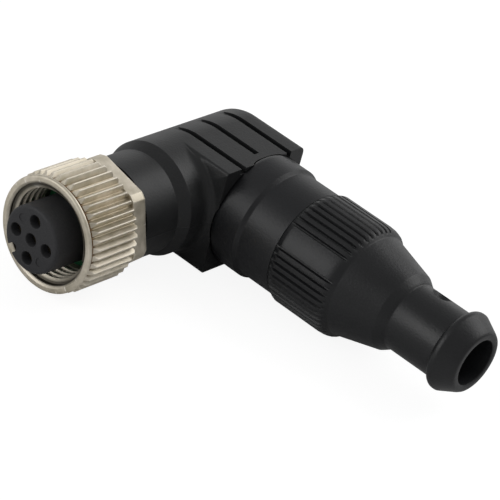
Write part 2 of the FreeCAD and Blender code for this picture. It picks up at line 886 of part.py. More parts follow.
cage_outer = size["barrel_bore"] - size["seat_gap"] - 0.02
cage_front = tube_end + size["cage_reach"]
taper_start = cage_front - size["cage_taper_length"]


def make_clamping_cage():
    """Plastic cage whose fingers close on the cable under the gland nut."""
    body = new_body("clamping_cage", CABLE_FRAME)
    wall = size["cage_wall"]
    turned(
        body, "tube",
        [
            (cage_outer - wall, cage_rear),
            (cage_outer, cage_rear),
            (cage_outer, taper_start),
            (size["cage_tip_radius"], cage_front),
            (size["cage_tip_radius"] - wall + 0.1, cage_front),
            (cage_outer - wall, taper_start),
        ],
    )
    slot = draw_outline(
        new_sketch(body, "XY_Plane", "slot_outline", cage_front - size["finger_length"]),
        box_corners(size["cage_tip_radius"] - wall - 0.5, cage_outer + 1,
                    -size["finger_gap"] / 2, size["finger_gap"] / 2),
    )
    cut = push(body, "Pocket", "slot", slot, size["finger_length"] + 1)
    ring_of(body, "slots", cut, size["finger_count"])
    return body


def make_cable_grommet():
    """Rubber sleeve that seals on the cable inside the cage."""
    body = new_body("cable_grommet", CABLE_FRAME)
    outer = cage_outer - size["cage_wall"] - size["seat_gap"]
    rear = cage_rear + 0.4
    front = rear + size["grommet_length"]
    sleeve = turned(body, "sleeve", box_corners(size["cable_radius"], outer, rear, front))
    round_off(body, "sleeve_round", sleeve, 0.4, circle_at(outer, front))
    return body


ring_rear = taper_start + size["pressure_ring_setback"]
ring_front = ring_rear + size["pressure_ring_length"]


def finger_radius_at(station):
    """Outside radius of the tapered fingers at a station on the cable axis."""
    slope = (cage_outer - size["cage_tip_radius"]) / size["cage_taper_length"]
    return cage_outer - slope * (station - taper_start)


def make_pressure_ring():
    """Slip ring in the gland nut: it pushes the fingers in and doesn't turn."""
    body = new_body("pressure_ring", CABLE_FRAME)
    gap = size["fit_gap"] + 0.02
    turned(
        body, "ring",
        [
            (finger_radius_at(ring_rear) + gap, ring_rear),
            (size["pressure_ring_radius"], ring_rear),
            (size["pressure_ring_radius"], ring_front),
            (finger_radius_at(ring_front) + gap, ring_front),
        ],
    )
    return body


def make_gland_nut():
    """Moulded nut: ribbed grip with plain panels, shoulder, cone, tail and flared mouth."""
    body = new_body("gland_nut", CABLE_FRAME)
    grip_start = gland_front + size["grip_rim"]
    grip_end = tube_end + size["grip_overrun"]
    cone_start = grip_end + size["shoulder_length"]
    cone_end = cone_start + size["cone_length"]
    tail_start = cone_end + size["tail_bevel"]
    flare_start = tail_start + size["tail_length"]
    crest = flare_start + size["flare_rise"]
    crest_end = crest + size["flare_land"]
    end = crest_end + size["flare_length"]
    flare_drop = size["flare_radius"] - size["tail_outer_radius"]
    flare_run = size["flare_rise"]
    flare_arc = (flare_run * flare_run + flare_drop * flare_drop) / (2 * flare_drop)
    thread_bore = size["gland_thread_radius"] + size["running_gap"]
    ring_bore = size["pressure_ring_radius"] + size["running_gap"]
    ring_seat = ring_front + size["fit_gap"]
    lip_rear = tube_end + 1.1
    lip_front = ring_rear - size["fit_gap"]
    funnel_mouth = finger_radius_at(ring_front) + size["fit_gap"]
    funnel_end = cone_end + 1.2
    shell = turned(
        body, "shell",
        [
            (thread_bore, gland_front),
            (barrel_radius, gland_front),
            (grip_radius, grip_start),
            (grip_radius, grip_end),
            (size["cone_start_radius"], cone_start),
            (size["cone_end_radius"], cone_end),
            (size["tail_outer_radius"], tail_start),
            (size["tail_outer_radius"], flare_start, flare_arc),
            (size["flare_radius"], crest),
            (size["flare_radius"], crest_end),
            (size["flare_end_radius"], end),
            (size["cable_radius"], end),
            (size["cable_radius"], funnel_end),
            (funnel_mouth, ring_seat),
            (ring_bore, ring_seat),
            (ring_bore, lip_front),
            (ring_bore - 0.15, lip_front),
            (ring_bore - 0.15, lip_rear),
            (thread_bore, lip_rear),
        ],
    )
    crest_round = round_off(body, "crest_round", shell, size["flare_round"],
                            circle_at(size["flare_radius"], crest_end))
    round_off(body, "cone_round", crest_round, size["flare_round"],
              circle_at(size["cone_end_radius"], cone_end))

    floor = size["grip_valley_radius"]
    half = size["grip_valley_width"] / 2
    first_valley = size["grip_panel_angle"] + size["grip_panel_half_angle"]
    valley = draw_outline(
        new_sketch(body, "XY_Plane", "valley_outline", gland_front - 1, first_valley),
        [
            (floor, -half * 0.45),
            (grip_radius + 0.1, -half),
            (grip_radius + 0.1, half),
            (floor, half * 0.45),
        ],
    )
    cut = push(body, "Pocket", "valley", valley, cone_start - gland_front + 1)
    pattern = body.newObject("PartDesign::MultiTransform", "grip_valleys")
    pattern.Originals = [cut]
    quarter = body.newObject("PartDesign::PolarPattern", "quarter_of_valleys")
    quarter.Axis = (origin_feature(body, "Z_Axis"), [""])
    bind(quarter, "Angle", 90 - 2 * size["grip_panel_half_angle"])
    bind(quarter, "Occurrences", size["grip_valleys"])
    around = body.newObject("PartDesign::PolarPattern", "four_quarters")
    around.Axis = (origin_feature(body, "Z_Axis"), [""])
    around.Angle = 360
    around.Occurrences = 4
    pattern.Transformations = [quarter, around]
    body.Tip = pattern

    hole_station = tail_start + size["pinhole_setback"]
    sunk = size["tail_outer_radius"] - (size["pinhole_sink_radius"] - size["pinhole_radius"])
    section = new_sketch(body, "XZ_Plane", "pinhole_outline")
    section.AttachmentOffset = FreeCAD.Placement(
        Vector(), Rotation(Vector(0, 1, 0), size["pinhole_turn"].value))
    bind(section, "AttachmentOffset.Base.y", hole_station)
    draw_outline(
        section,
        [
            (size["cable_radius"] - 0.8, 0),
            (size["cable_radius"] - 0.8, size["pinhole_radius"]),
            (sunk, size["pinhole_radius"]),
            (size["tail_outer_radius"] + 0.2, size["pinhole_sink_radius"] + 0.2),
            (size["tail_outer_radius"] + 1, size["pinhole_sink_radius"] + 0.2),
            (size["tail_outer_radius"] + 1, 0),
        ],
    )
    pinhole = body.newObject("PartDesign::Groove", "pinhole")
    pinhole.Profile = section
    pinhole.ReferenceAxis = (section, ["H_Axis"])
    pinhole.Angle = 360
    return body


make_elbow_housing()
make_coupling_nut()
make_contact_insert()
make_seal_ring()
for index, pin_place in enumerate(PIN_PLACES):
    make_socket_contact(index + 1, pin_place)
make_terminal_block()
for index in range(5):
    make_wire_clamp(index)
    make_terminal_screw(index)
make_barrel()
make_barrel_seal()
make_clamping_cage()
make_cable_grommet()
make_pressure_ring()
make_gland_nut()

doc.recompute()


def check_document():
    """Stop if any object failed, or a sub-part isn't one valid closed solid."""
    for thing in doc.Objects:
        if "Invalid" in thing.State or "Error" in thing.State:
            raise RuntimeError("%s failed: %s" % (thing.Label, thing.State))
    for thing in doc.Objects:
        if thing.TypeId != "PartDesign::Body":
            continue
        shape = thing.Shape
        if shape.isNull() or not shape.isValid() or len(shape.Solids) != 1:
            raise RuntimeError("%s isn't one valid solid" % thing.Label)


def write_parts():
    """Write one STEP file for each sub-part."""
    os.makedirs("parts", exist_ok=True)
    for thing in doc.Objects:
        if thing.TypeId == "PartDesign::Body":
            thing.Shape.exportStep(os.path.join("parts", thing.Label + ".step"))
            print("%-18s %9.2f mm3" % (thing.Label, thing.Shape.Volume))


check_document()
write_parts()
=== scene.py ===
"""The looks of a right-angle M12 cable socket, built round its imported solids.

Sizes are in millimetres and turns in radians, unless a name or a comment says otherwise. Those
that a node's corners give are read from the frame. The others are the source's, or were
measured in the photograph where it shows more than the solids. A station is a place along a
piece's own axis: y on the mating axis, x on the cable's axis.
"""

import math

import bpy
import numpy as np
from mathutils import Matrix, Vector


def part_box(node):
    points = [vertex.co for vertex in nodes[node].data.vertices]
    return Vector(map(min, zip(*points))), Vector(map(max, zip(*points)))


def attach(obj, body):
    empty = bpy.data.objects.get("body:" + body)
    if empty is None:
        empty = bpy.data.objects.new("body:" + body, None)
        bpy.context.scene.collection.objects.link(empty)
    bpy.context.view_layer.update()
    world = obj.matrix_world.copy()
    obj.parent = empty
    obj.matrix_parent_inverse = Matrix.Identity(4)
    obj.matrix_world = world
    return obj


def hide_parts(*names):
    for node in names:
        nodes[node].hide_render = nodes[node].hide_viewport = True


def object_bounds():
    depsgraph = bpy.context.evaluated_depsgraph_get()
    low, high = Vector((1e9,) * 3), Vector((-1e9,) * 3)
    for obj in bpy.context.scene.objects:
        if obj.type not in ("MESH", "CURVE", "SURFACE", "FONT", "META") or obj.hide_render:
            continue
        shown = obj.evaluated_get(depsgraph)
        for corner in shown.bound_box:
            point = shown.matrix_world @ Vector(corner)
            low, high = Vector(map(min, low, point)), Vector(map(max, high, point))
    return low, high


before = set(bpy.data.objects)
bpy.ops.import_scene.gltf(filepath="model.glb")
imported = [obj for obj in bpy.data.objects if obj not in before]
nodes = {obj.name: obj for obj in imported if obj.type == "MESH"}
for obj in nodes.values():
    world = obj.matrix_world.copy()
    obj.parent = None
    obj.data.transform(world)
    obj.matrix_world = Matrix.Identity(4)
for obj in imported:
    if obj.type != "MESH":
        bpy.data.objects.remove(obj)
cad_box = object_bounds()


# Coupling nut
# A turned brass nut with a dull nickel plate: a hexagon at the rear, ridges for the fingers, a
# narrow rolled lip at the mouth and the M12 x 1 thread inside. It spins freely behind the
# flange of the contact insert.

MM = 0.001
FULL_TURN = 2 * math.pi


def corners(node):
    """A CAD node's lowest and highest corners at rest, in millimetres."""
    low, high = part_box(node)
    return np.array(low) / MM, np.array(high) / MM


nut_low, nut_high = corners("coupling_nut")
NUT_FRONT = nut_low[1]
NUT_REAR = nut_high[1]
RIDGES = 42
RIDGE_COLUMNS = 12
RIDGE_TOP = nut_high[2]
RIDGE_FOOT = RIDGE_TOP - 0.72
RIDGE_END = 0.28
HEX_FRONT = NUT_REAR - 2.25
HEX_HALF = 6.5
HEX_CORNER = 7.25
HEX_TURN = math.radians(18.5)
# How far each row of the bevel lies from the rear face and below the hexagon.
HEX_BEVEL = ((0.0, 0.55), (0.03, 0.32), (0.1, 0.17), (0.24, 0.06), (0.42, 0.0))
LIP_FACE = NUT_FRONT - 0.08
LIP_REAR = NUT_FRONT + 0.4
LIP_RADIUS = 7.12
LIP_ROUND = 0.3
LIP_FLAT = 6.5
GROOVE_REAR = NUT_FRONT + 0.58
GROOVE_FOOT = 6.52
MOUTH_RADIUS = 6.38
THREAD_ROOT = 6.1
THREAD_CREST = 5.46
THREAD_PITCH = 1.0
THREAD_START = NUT_FRONT + 0.32
THREAD_END = NUT_FRONT + 4.95
CREST_HALF = 0.12
THREAD_HALF = 0.4
RELIEF = 5.62
WEB_FACE = NUT_REAR - 2.4
NUT_HOLE = 4.93


def smooth_step(low, high, value):
    """Rise from 0 at low to 1 at high, level at both ends: s * s * (3 - 2 s)."""
    share = np.clip((value - low) / (high - low), 0, 1)
    return share * share * (3 - 2 * share)


def grid_piece(name, points, capped=False, sharp_angle=35):
    """Make a mesh of a grid of points, in mm, whose columns close on themselves.

    Each cell of the grid is one quad. The rows close on themselves too, or, where it is
    capped, the first and the last row are each one flat face. If the signed volume, the sum
    over the faces' triangles of a . (b x c) / 6, is negative, the columns are reversed, so
    that all faces point outwards.
    """
    rows, columns = points.shape[:2]
    index = np.arange(rows * columns).reshape(rows, columns)
    above = index[:-1] if capped else index
    below = index[1:] if capped else np.roll(index, -1, axis=0)
    quads = np.stack([above, np.roll(above, -1, axis=1), np.roll(below, -1, axis=1), below], -1)
    quads = quads.reshape(-1, 4)
    ends = [index[0][::-1], index[-1]] if capped else []
    flat = points.reshape(-1, 3) * MM
    a, b, c, d = (flat[quads[:, corner]] for corner in range(4))
    volume = (a * np.cross(b, c)).sum() + (a * np.cross(c, d)).sum()
    for end in ends:
        rim = flat[end]
        volume += (rim[0] * np.cross(rim[1:-1], rim[2:])).sum()
    if volume < 0:
        return grid_piece(name, points[:, ::-1], capped, sharp_angle)
    loops = np.concatenate([quads.ravel()] + ends)
    starts = np.arange(0, quads.size, 4)
    if capped:
        starts = np.append(starts, [quads.size, quads.size + columns])
    mesh = bpy.data.meshes.new(name)
    mesh.vertices.add(len(flat))
    mesh.vertices.foreach_set("co", flat.ravel())
    mesh.loops.add(len(loops))
    mesh.loops.foreach_set("vertex_index", loops)
    mesh.polygons.add(len(starts))
    mesh.polygons.foreach_set("loop_start", starts)
    mesh.update(calc_edges=True)
    mesh.validate()
    mesh.polygons.foreach_set("use_smooth", np.ones(len(mesh.polygons), bool))
    mesh.set_sharp_from_angle(angle=math.radians(sharp_angle))
    piece = bpy.data.objects.new(name, mesh)
    bpy.context.scene.collection.objects.link(piece)
    return piece


def round_mating_axis(radius, station, turn):
    """Points at a radius and turn about the mating axis: x, z on the circle, y along it."""
    across, up = radius * np.cos(turn), radius * np.sin(turn)
    return np.stack(np.broadcast_arrays(across, station, up), -1)


def nut_points():
    """The nut's surface: rows go round its section, columns go round the mating axis.

    The hexagon's radius is half / cos of the turn from the nearest flat, and at most the
    corner circle. The ridges are a triangle wave, cut flat at top and foot, with a 45 degree
    slope at each end of a ridge and another down to the groove behind the lip.
    """
    columns = RIDGES * RIDGE_COLUMNS
    turn = np.arange(columns) / columns * FULL_TURN
    to_flat = (turn - HEX_TURN + math.pi / 6) % (math.pi / 3) - math.pi / 6
    hexagon = np.minimum(HEX_HALF / np.cos(to_flat), HEX_CORNER)
    wave = 1 - np.abs(2 * ((turn * RIDGES / FULL_TURN) % 1) - 1)
    ridges = RIDGE_FOOT + (RIDGE_TOP - RIDGE_FOOT) * np.clip(wave * 1.35 - 0.175, 0, 1)
    slope_foot = RIDGE_TOP - RIDGE_END
    rows = [(NUT_REAR - ahead, hexagon - drop) for ahead, drop in HEX_BEVEL]
    rows += [(y, hexagon) for y in np.linspace(NUT_REAR - 0.7, HEX_FRONT + 0.12, 5)]
    rows += [
        (HEX_FRONT + 0.03, hexagon - 0.02), (HEX_FRONT, hexagon - 0.12),
        (HEX_FRONT - 0.01, np.minimum(ridges, slope_foot) - 0.04),
    ]
    rows += [
        (HEX_FRONT - step, np.minimum(ridges, slope_foot + step))
        for step in (0.04, 0.13, RIDGE_END, RIDGE_END + 0.03)
    ]
    rows += [(y, ridges) for y in np.linspace(HEX_FRONT - 0.6, GROOVE_REAR + 0.9, 12)]
    rows += [
        (y, np.minimum(ridges, GROOVE_FOOT + (y - GROOVE_REAR)))
        for y in np.linspace(GROOVE_REAR + 0.84, GROOVE_REAR, 10)
    ]
    rows += [
        (LIP_REAR + 0.03, GROOVE_FOOT), (LIP_REAR, LIP_RADIUS - 0.12),
        (LIP_REAR - 0.06, LIP_RADIUS - 0.01),
    ]
    rows += [
        (LIP_FACE + LIP_ROUND * (1 - math.sin(t)), LIP_RADIUS - LIP_ROUND * (1 - math.cos(t)))
        for t in np.linspace(0, math.pi / 2, 8)
    ]
    rows += [
        (LIP_FACE, LIP_FLAT), (LIP_FACE, MOUTH_RADIUS + 0.06), (LIP_FACE + 0.03, MOUTH_RADIUS),
        (NUT_FRONT + 0.2, THREAD_ROOT + 0.02), (NUT_FRONT + 0.28, THREAD_ROOT),
    ]
    rows += [(y, THREAD_ROOT) for y in np.linspace(NUT_FRONT + 0.8, THREAD_END, 8)]
    rows += [
        (THREAD_END + 0.1, RELIEF), (WEB_FACE - 0.2, RELIEF), (WEB_FACE, RELIEF - 0.15),
        (WEB_FACE, NUT_HOLE + 0.1), (WEB_FACE + 0.1, NUT_HOLE), (NUT_REAR - 0.15, NUT_HOLE),
        (NUT_REAR, NUT_HOLE + 0.15),
    ]
    return np.array([round_mating_axis(np.broadcast_to(r, columns), y, turn) for y, r in rows])


def thread_points():
    """The thread's ridge: its section is carried along a helix and sinks to the root at both
    ends, over 8% and 5% of its way.

    The section's rows are (station, share of the way from the crest to the root). The foot
    goes 0.12 of the height past the root, into the nut's wall.
    """
    crest = [(CREST_HALF, 0), (CREST_HALF + 0.04, 0.08)]
    half = crest + [(THREAD_HALF, 1), (THREAD_HALF + 0.02, 1.12)]
    section = np.array([(-station, depth) for station, depth in half[::-1]] + half)
    turns = (THREAD_END - THREAD_START) / THREAD_PITCH
    along = np.linspace(0, 1, int(turns * 96))[:, None]
    lift = smooth_step(0, 0.08, along) * (1 - smooth_step(0.95, 1, along))
    height = (THREAD_ROOT - THREAD_CREST) * lift + 0.001
    radius = THREAD_ROOT - height * (1 - section[None, :, 1]) + 0.02 * (1 - lift)
    station = THREAD_START + along * turns * THREAD_PITCH + section[None, :, 0]
    return round_mating_axis(radius, station, along * turns * FULL_TURN)


def linear(code):
    """Turn an sRGB hex colour to linear: v / 12.92 below 0.04045, else ((v+0.055)/1.055)^2.4."""
    values = [int(code[i : i + 2], 16) / 255 for i in (1, 3, 5)]
    return [v / 12.92 if v <= 0.04045 else ((v + 0.055) / 1.055) ** 2.4 for v in values] + [1]


def add_node(tree, kind, settings=None, links=None):
    """Add a shader node, set its properties and sockets, and link sockets from other nodes.

    A socket goes by its name or its number. A ramp is the (place, sRGB hex) of its two ends.
    """
    node = tree.nodes.new("ShaderNode" + kind)
    for name, value in (settings or {}).items():
        if name == "ramp":
            for end, (place, code) in zip(node.color_ramp.elements, value):
                end.position, end.color = place, linear(code)
        elif isinstance(name, str) and hasattr(node, name):
            setattr(node, name, value)
        else:
            node.inputs[name].default_value = value
    for name, source in (links or {}).items():
        tree.links.new(source, node.inputs[name])
    return node


def new_material(name):
    """Start a material with only its object coordinates, which are in metres."""
    material = bpy.data.materials.new(name)
    material.use_nodes = True
    tree = material.node_tree
    tree.nodes.clear()
    place = add_node(tree, "TexCoord").outputs["Object"]
    return material, tree, place


def settle(piece, finish, body, node=None):
    """Give a piece its finish, body and material slot, and let it stand for a CAD node."""
    piece.data.materials.append(finish)
    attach(piece, body)
    if node:
        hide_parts(node)


# Widths of the plate's stains and blotches, and of the grit of the tumbled brass under it. The
# real grit is a few hundredths of a millimetre. It is drawn coarser, because a pixel of the
# render shows about 0.11 mm.
STAIN_SIZE = 1.111
BLOTCH_SIZE = 4.167
DRAWN_GRIT = 0.1923


def satin_nickel():
    """Satin nickel plate on turned, tumbled brass. The plate is thin and a little stained, so
    the eye sees a warm, dull metal. Painted shade makes it browner in the hollows and a painted
    highlight makes it brighter on the crests. A dark brass-brown painted shade lies in the
    pockets of the groove behind the lip, and a dark painted shade at the thread's root.
    """
    material, tree, place = new_material("satin_nickel_plate")
    stain = add_node(
        tree, "TexNoise", {"Scale": 1 / (STAIN_SIZE * MM), "Detail": 4, "Roughness": 0.6},
        {"Vector": place},
    )
    blotch = add_node(
        tree, "TexNoise", {"Scale": 1 / (BLOTCH_SIZE * MM), "Detail": 2}, {"Vector": place}
    )
    mottle = add_node(
        tree, "Mix", {"data_type": "FLOAT", 0: 0.45},
        {2: stain.outputs["Fac"], 3: blotch.outputs["Fac"]},
    )
    plate = add_node(
        tree, "ValToRGB", {"ramp": ((0.36, "#C4BCA9"), (0.64, "#E4DCCD"))},
        {"Fac": mottle.outputs[0]},
    )

    # Pointiness is 0.5 on a flat surface, less in a hollow and more on a crest.
    edge = add_node(tree, "NewGeometry").outputs["Pointiness"]
    # Painted shade: the plate turns browner in the hollows, where less light reaches.
    hollow_shade = add_node(
        tree, "MapRange", {"From Min": 0.49, "From Max": 0.4, "To Min": 0, "To Max": 0.6},
        {"Value": edge},
    )
    # Painted highlight: the crests and sharp edges turn near-white, standing in for glints.
    crest = add_node(
        tree, "MapRange", {"From Min": 0.52, "From Max": 0.62, "To Min": 0, "To Max": 0.8},
        {"Value": edge},
    )

    # Distance from the mating axis, and the bands of it at the groove and at the thread.
    flat = add_node(tree, "VectorMath", {"operation": "MULTIPLY", 1: (1, 0, 1)}, {0: place})
    reach = add_node(tree, "VectorMath", {"operation": "LENGTH"}, {0: flat.outputs[0]})
    along = add_node(tree, "SeparateXYZ", links={0: place})
    # Painted shade: a dark brass-brown in the groove's pockets between the ridges' ends and the
    # lip.
    in_groove = add_node(
        tree, "Math", {"operation": "COMPARE", 1: (GROOVE_FOOT + 0.06) * MM, 2: 0.21 * MM},
        {0: reach.outputs["Value"]},
    )
    past_lip = add_node(
        tree, "Math", {"operation": "GREATER_THAN", 1: LIP_REAR * MM}, {0: along.outputs["Y"]}
    )
    fading = add_node(
        tree, "MapRange",
        {"From Min": (GROOVE_REAR + 0.92) * MM, "From Max": (GROOVE_REAR + 0.32) * MM,
         "To Min": 0, "To Max": 0.9},
        {"Value": along.outputs["Y"]},
    )
    pocket_shade = add_node(
        tree, "Math", {"operation": "MULTIPLY"}, {0: in_groove.outputs[0], 1: fading.outputs[0]}
    )
    pocket_shade = add_node(
        tree, "Math", {"operation": "MULTIPLY"}, {0: pocket_shade.outputs[0], 1: past_lip.outputs[0]}
    )
    # Painted shade: dark at the thread's root, between the crests, out to the nut's wall.
    deep = add_node(
        tree, "MapRange",
        {"From Min": (THREAD_ROOT - 0.5) * MM, "From Max": (THREAD_ROOT - 0.2) * MM,
         "To Min": 0, "To Max": 1},
        {"Value": reach.outputs["Value"]},
    )
    within = add_node(
        tree, "MapRange",
        {"From Min": (THREAD_ROOT + 0.02) * MM, "From Max": (THREAD_ROOT + 0.14) * MM,
         "To Min": 0.85, "To Max": 0},
        {"Value": reach.outputs["Value"]},
    )
    root_shade = add_node(
        tree, "Math", {"operation": "MULTIPLY"}, {0: deep.outputs[0], 1: within.outputs[0]}
    )

    colour = plate.outputs["Color"]
    # Painted shade in the hollows, painted highlight on the crests, and painted shade in the
    # groove's pockets and at the thread's root, over the plate's own colour.
    painted_tints = ((hollow_shade, "#A08E68"), (crest, "#FFFAF0"), (pocket_shade, "#6B4A1E"), (root_shade, "#2A261E"))
    for share, code in painted_tints:
        tinted = add_node(
            tree, "Mix", {"data_type": "RGBA", 7: linear(code)}, {0: share.outputs[0], 6: colour}
        )
        colour = tinted.outputs[2]
    rough = add_node(
        tree, "MapRange", {"From Min": 0.3, "From Max": 0.7, "To Min": 0.48, "To Max": 0.6},
        {"Value": stain.outputs["Fac"]},
    )
    grit = add_node(
        tree, "TexNoise", {"Scale": 1 / (DRAWN_GRIT * MM), "Detail": 2}, {"Vector": place}
    )
    soft_edge = add_node(tree, "Bevel", {"samples": 4, "Radius": 0.05 * MM})
    bump = add_node(
        tree, "Bump", {"Strength": 0.3, "Distance": 0.02 * MM},
        {"Height": grit.outputs["Fac"], "Normal": soft_edge.outputs["Normal"]},
    )
    shader = add_node(
        tree, "BsdfPrincipled", {"Metallic": 1.0},
        {"Base Color": colour, "Roughness": rough.outputs["Result"],
         "Normal": bump.outputs["Normal"]},
    )
    add_node(tree, "OutputMaterial", links={"Surface": shader.outputs[0]})
    return material


nickel = satin_nickel()
nut = grid_piece("nut_shell", nut_points(), sharp_angle=30)
thread = grid_piece("nut_thread", thread_points(), capped=True, sharp_angle=40)
settle(nut, nickel, "coupling", "coupling_nut")
settle(thread, nickel, "coupling")


# Contact insert
# A black moulded plug of glass-filled polyamide with five entry holes, a key slot and two
# shallow ejector marks. Its flange traps the nut and its shaft is pressed into the elbow.

insert_low, insert_high = corners("contact_insert")
seal_low, seal_high = corners("seal_ring")
PLUG_FACE = insert_low[1]
PLUG_FOOT = seal_low[1] - 0.05
PLUG_RADIUS = 4.15
WAIST_RADIUS = 3.7
FLANGE_FRONT = seal_high[1]
FLANGE_REAR = FLANGE_FRONT + 1
FLANGE_RADIUS = insert_high[0]
INSERT_REAR = insert_high[1]
SHAFT_RADIUS = 4.84
NEAR_AXIS = 0.02
PIN_CIRCLE = 2.5
ENTRY_RADIUS = 0.8
LEAD_IN_RADIUS = 0.93
CHAMBER_RADIUS = 1.0
SOCKET_FRONT = PLUG_FACE + 1.2
SOCKET_REAR = SOCKET_FRONT + 9.05
KEY_HALF_WIDTH = 0.55
KEY_BOTTOM = 2.8
KEY_OUT = 5.2
KEY_TURN = math.radians(225)
MARK_CIRCLE = 2.72
MARK_RADIUS = 0.52
MARK_DEPTH = 0.07
CUT_PAST = 0.5


def round_corners(outline, cut, steps=5):
    """Swap each corner of a closed outline for a short curve that starts cut before it.

    The curve is start * (1-u)^2 + corner * 2u(1-u) + end * u^2, with u from 0 to 1. The cut
    is a single length or one for each corner, and no curve takes over 45% of a side.
    """
    outline = np.array(outline, float)
    cuts = np.broadcast_to(np.asarray(cut, float), len(outline))
    before = np.roll(outline, 1, axis=0) - outline
    after = np.roll(outline, -1, axis=0) - outline
    rows = []
    for corner, back, ahead, reach in zip(outline, before, after, cuts):
        lengths = np.hypot(*back), np.hypot(*ahead)
        reach = min(reach, 0.45 * lengths[0], 0.45 * lengths[1])
        if reach < 1e-4:
            rows.append(corner[None])
            continue
        start = corner + back / lengths[0] * reach
        end = corner + ahead / lengths[1] * reach
        u = np.linspace(0, 1, steps)[:, None]
        rows.append(start * (1 - u) ** 2 + corner * 2 * u * (1 - u) + end * u**2)
    return np.concatenate(rows)


def turned_piece(name, axis_points, outline, columns=192, cut=0.05, sharp_angle=35):
    """A closed outline of (station, radius), with rounded corners, carried round an axis."""
    outline = round_corners(outline, cut)
    turn = np.arange(columns) / columns * FULL_TURN
    points = axis_points(outline[:, 1:2], outline[:, :1], turn[None, :])
    return grid_piece(name, points, sharp_angle=sharp_angle)


def cut_away(piece, cutters):
    """Take the cutters' volume out of a piece, leave its mesh plain, and drop the cutters."""
    for cutter in cutters:
        taken = piece.modifiers.new("cut", "BOOLEAN")
        taken.operation = "DIFFERENCE"
        taken.solver = "EXACT"
        taken.object = cutter
    bpy.context.view_layer.update()
    result = bpy.data.meshes.new_from_object(
        piece.evaluated_get(bpy.context.evaluated_depsgraph_get())
    )
    piece.modifiers.clear()
    piece.data = result
    result.materials.clear()
    result.polygons.foreach_set("use_smooth", np.ones(len(result.polygons), bool))
    result.set_sharp_from_angle(angle=math.radians(32))
    for cutter in cutters:
        bpy.data.objects.remove(cutter)


def plug_cutter(name, x, z, steps, columns=48):
    """A round cutter along the mating axis, with a (station, radius) for each of its steps."""
    steps = np.array(steps)
    turn = np.arange(columns) / columns * FULL_TURN
    points = round_mating_axis(steps[:, 1:], steps[:, :1], turn[None, :])
    return grid_piece(name, points + np.array([x, 0, z]), capped=True)


def key_cutter():
    """The key slot: a half circle, cos and sin about its centre, run on out past the plug."""
    half_round = np.linspace(math.pi / 2, 3 * math.pi / 2, 16)
    centre = KEY_BOTTOM + KEY_HALF_WIDTH
    out = np.append(centre + KEY_HALF_WIDTH * np.cos(half_round), [KEY_OUT, KEY_OUT])
    aside = np.append(KEY_HALF_WIDTH * np.sin(half_round), [-KEY_HALF_WIDTH, KEY_HALF_WIDTH])
    x = out * math.cos(KEY_TURN) - aside * math.sin(KEY_TURN)
    z = out * math.sin(KEY_TURN) + aside * math.cos(KEY_TURN)
    ends = (PLUG_FOOT, PLUG_FACE - CUT_PAST)
    points = np.array([np.stack([x, np.full(len(x), y), z], -1) for y in ends])
    return grid_piece("key", points, capped=True)


insert = turned_piece(
    "contact_insert_shell", round_mating_axis,
    [
        (INSERT_REAR, NEAR_AXIS), (INSERT_REAR, SHAFT_RADIUS), (FLANGE_REAR, SHAFT_RADIUS),
        (FLANGE_REAR, FLANGE_RADIUS), (FLANGE_FRONT, FLANGE_RADIUS), (FLANGE_FRONT, WAIST_RADIUS),
        (PLUG_FOOT, WAIST_RADIUS), (PLUG_FOOT, PLUG_RADIUS), (PLUG_FACE, PLUG_RADIUS),
        (PLUG_FACE, NEAR_AXIS),
    ],
    columns=224, cut=[0, 0.1, 0.02, 0.1, 0.1, 0.02, 0.02, 0.05, 0.42, 0],
)
entry_steps = [
    (SOCKET_REAR, CHAMBER_RADIUS), (SOCKET_FRONT - 0.01, CHAMBER_RADIUS),
    (SOCKET_FRONT - 0.02, ENTRY_RADIUS), (PLUG_FACE + 0.12, ENTRY_RADIUS),
    (PLUG_FACE + 0.03, ENTRY_RADIUS + 0.04), (PLUG_FACE - 0.03, LEAD_IN_RADIUS),
    (PLUG_FACE - CUT_PAST, LEAD_IN_RADIUS + 0.02),
]
pins = [(PIN_CIRCLE, 0), (0, PIN_CIRCLE), (-PIN_CIRCLE, 0), (0, -PIN_CIRCLE), (0, 0)]
mark_steps = [(PLUG_FACE + MARK_DEPTH, MARK_RADIUS), (PLUG_FACE - CUT_PAST, MARK_RADIUS)]
marks = [
    [MARK_CIRCLE * part(KEY_TURN + quarter) for part in (math.cos, math.sin)]
    for quarter in (-math.pi / 2, math.pi / 2)
]
cut_away(
    insert,
    [plug_cutter("entry", x, z, entry_steps) for x, z in pins]
    + [key_cutter()]
    + [plug_cutter("mark", x, z, mark_steps) for x, z in marks],
)

# Widths of the filler's specks and of the mould's grain. The real ones are 0.05 to 0.15 mm.
# They are drawn coarser, because a pixel of the render shows about 0.11 mm.
DRAWN_SPECK = 0.238
DRAWN_GRAIN = 0.2778


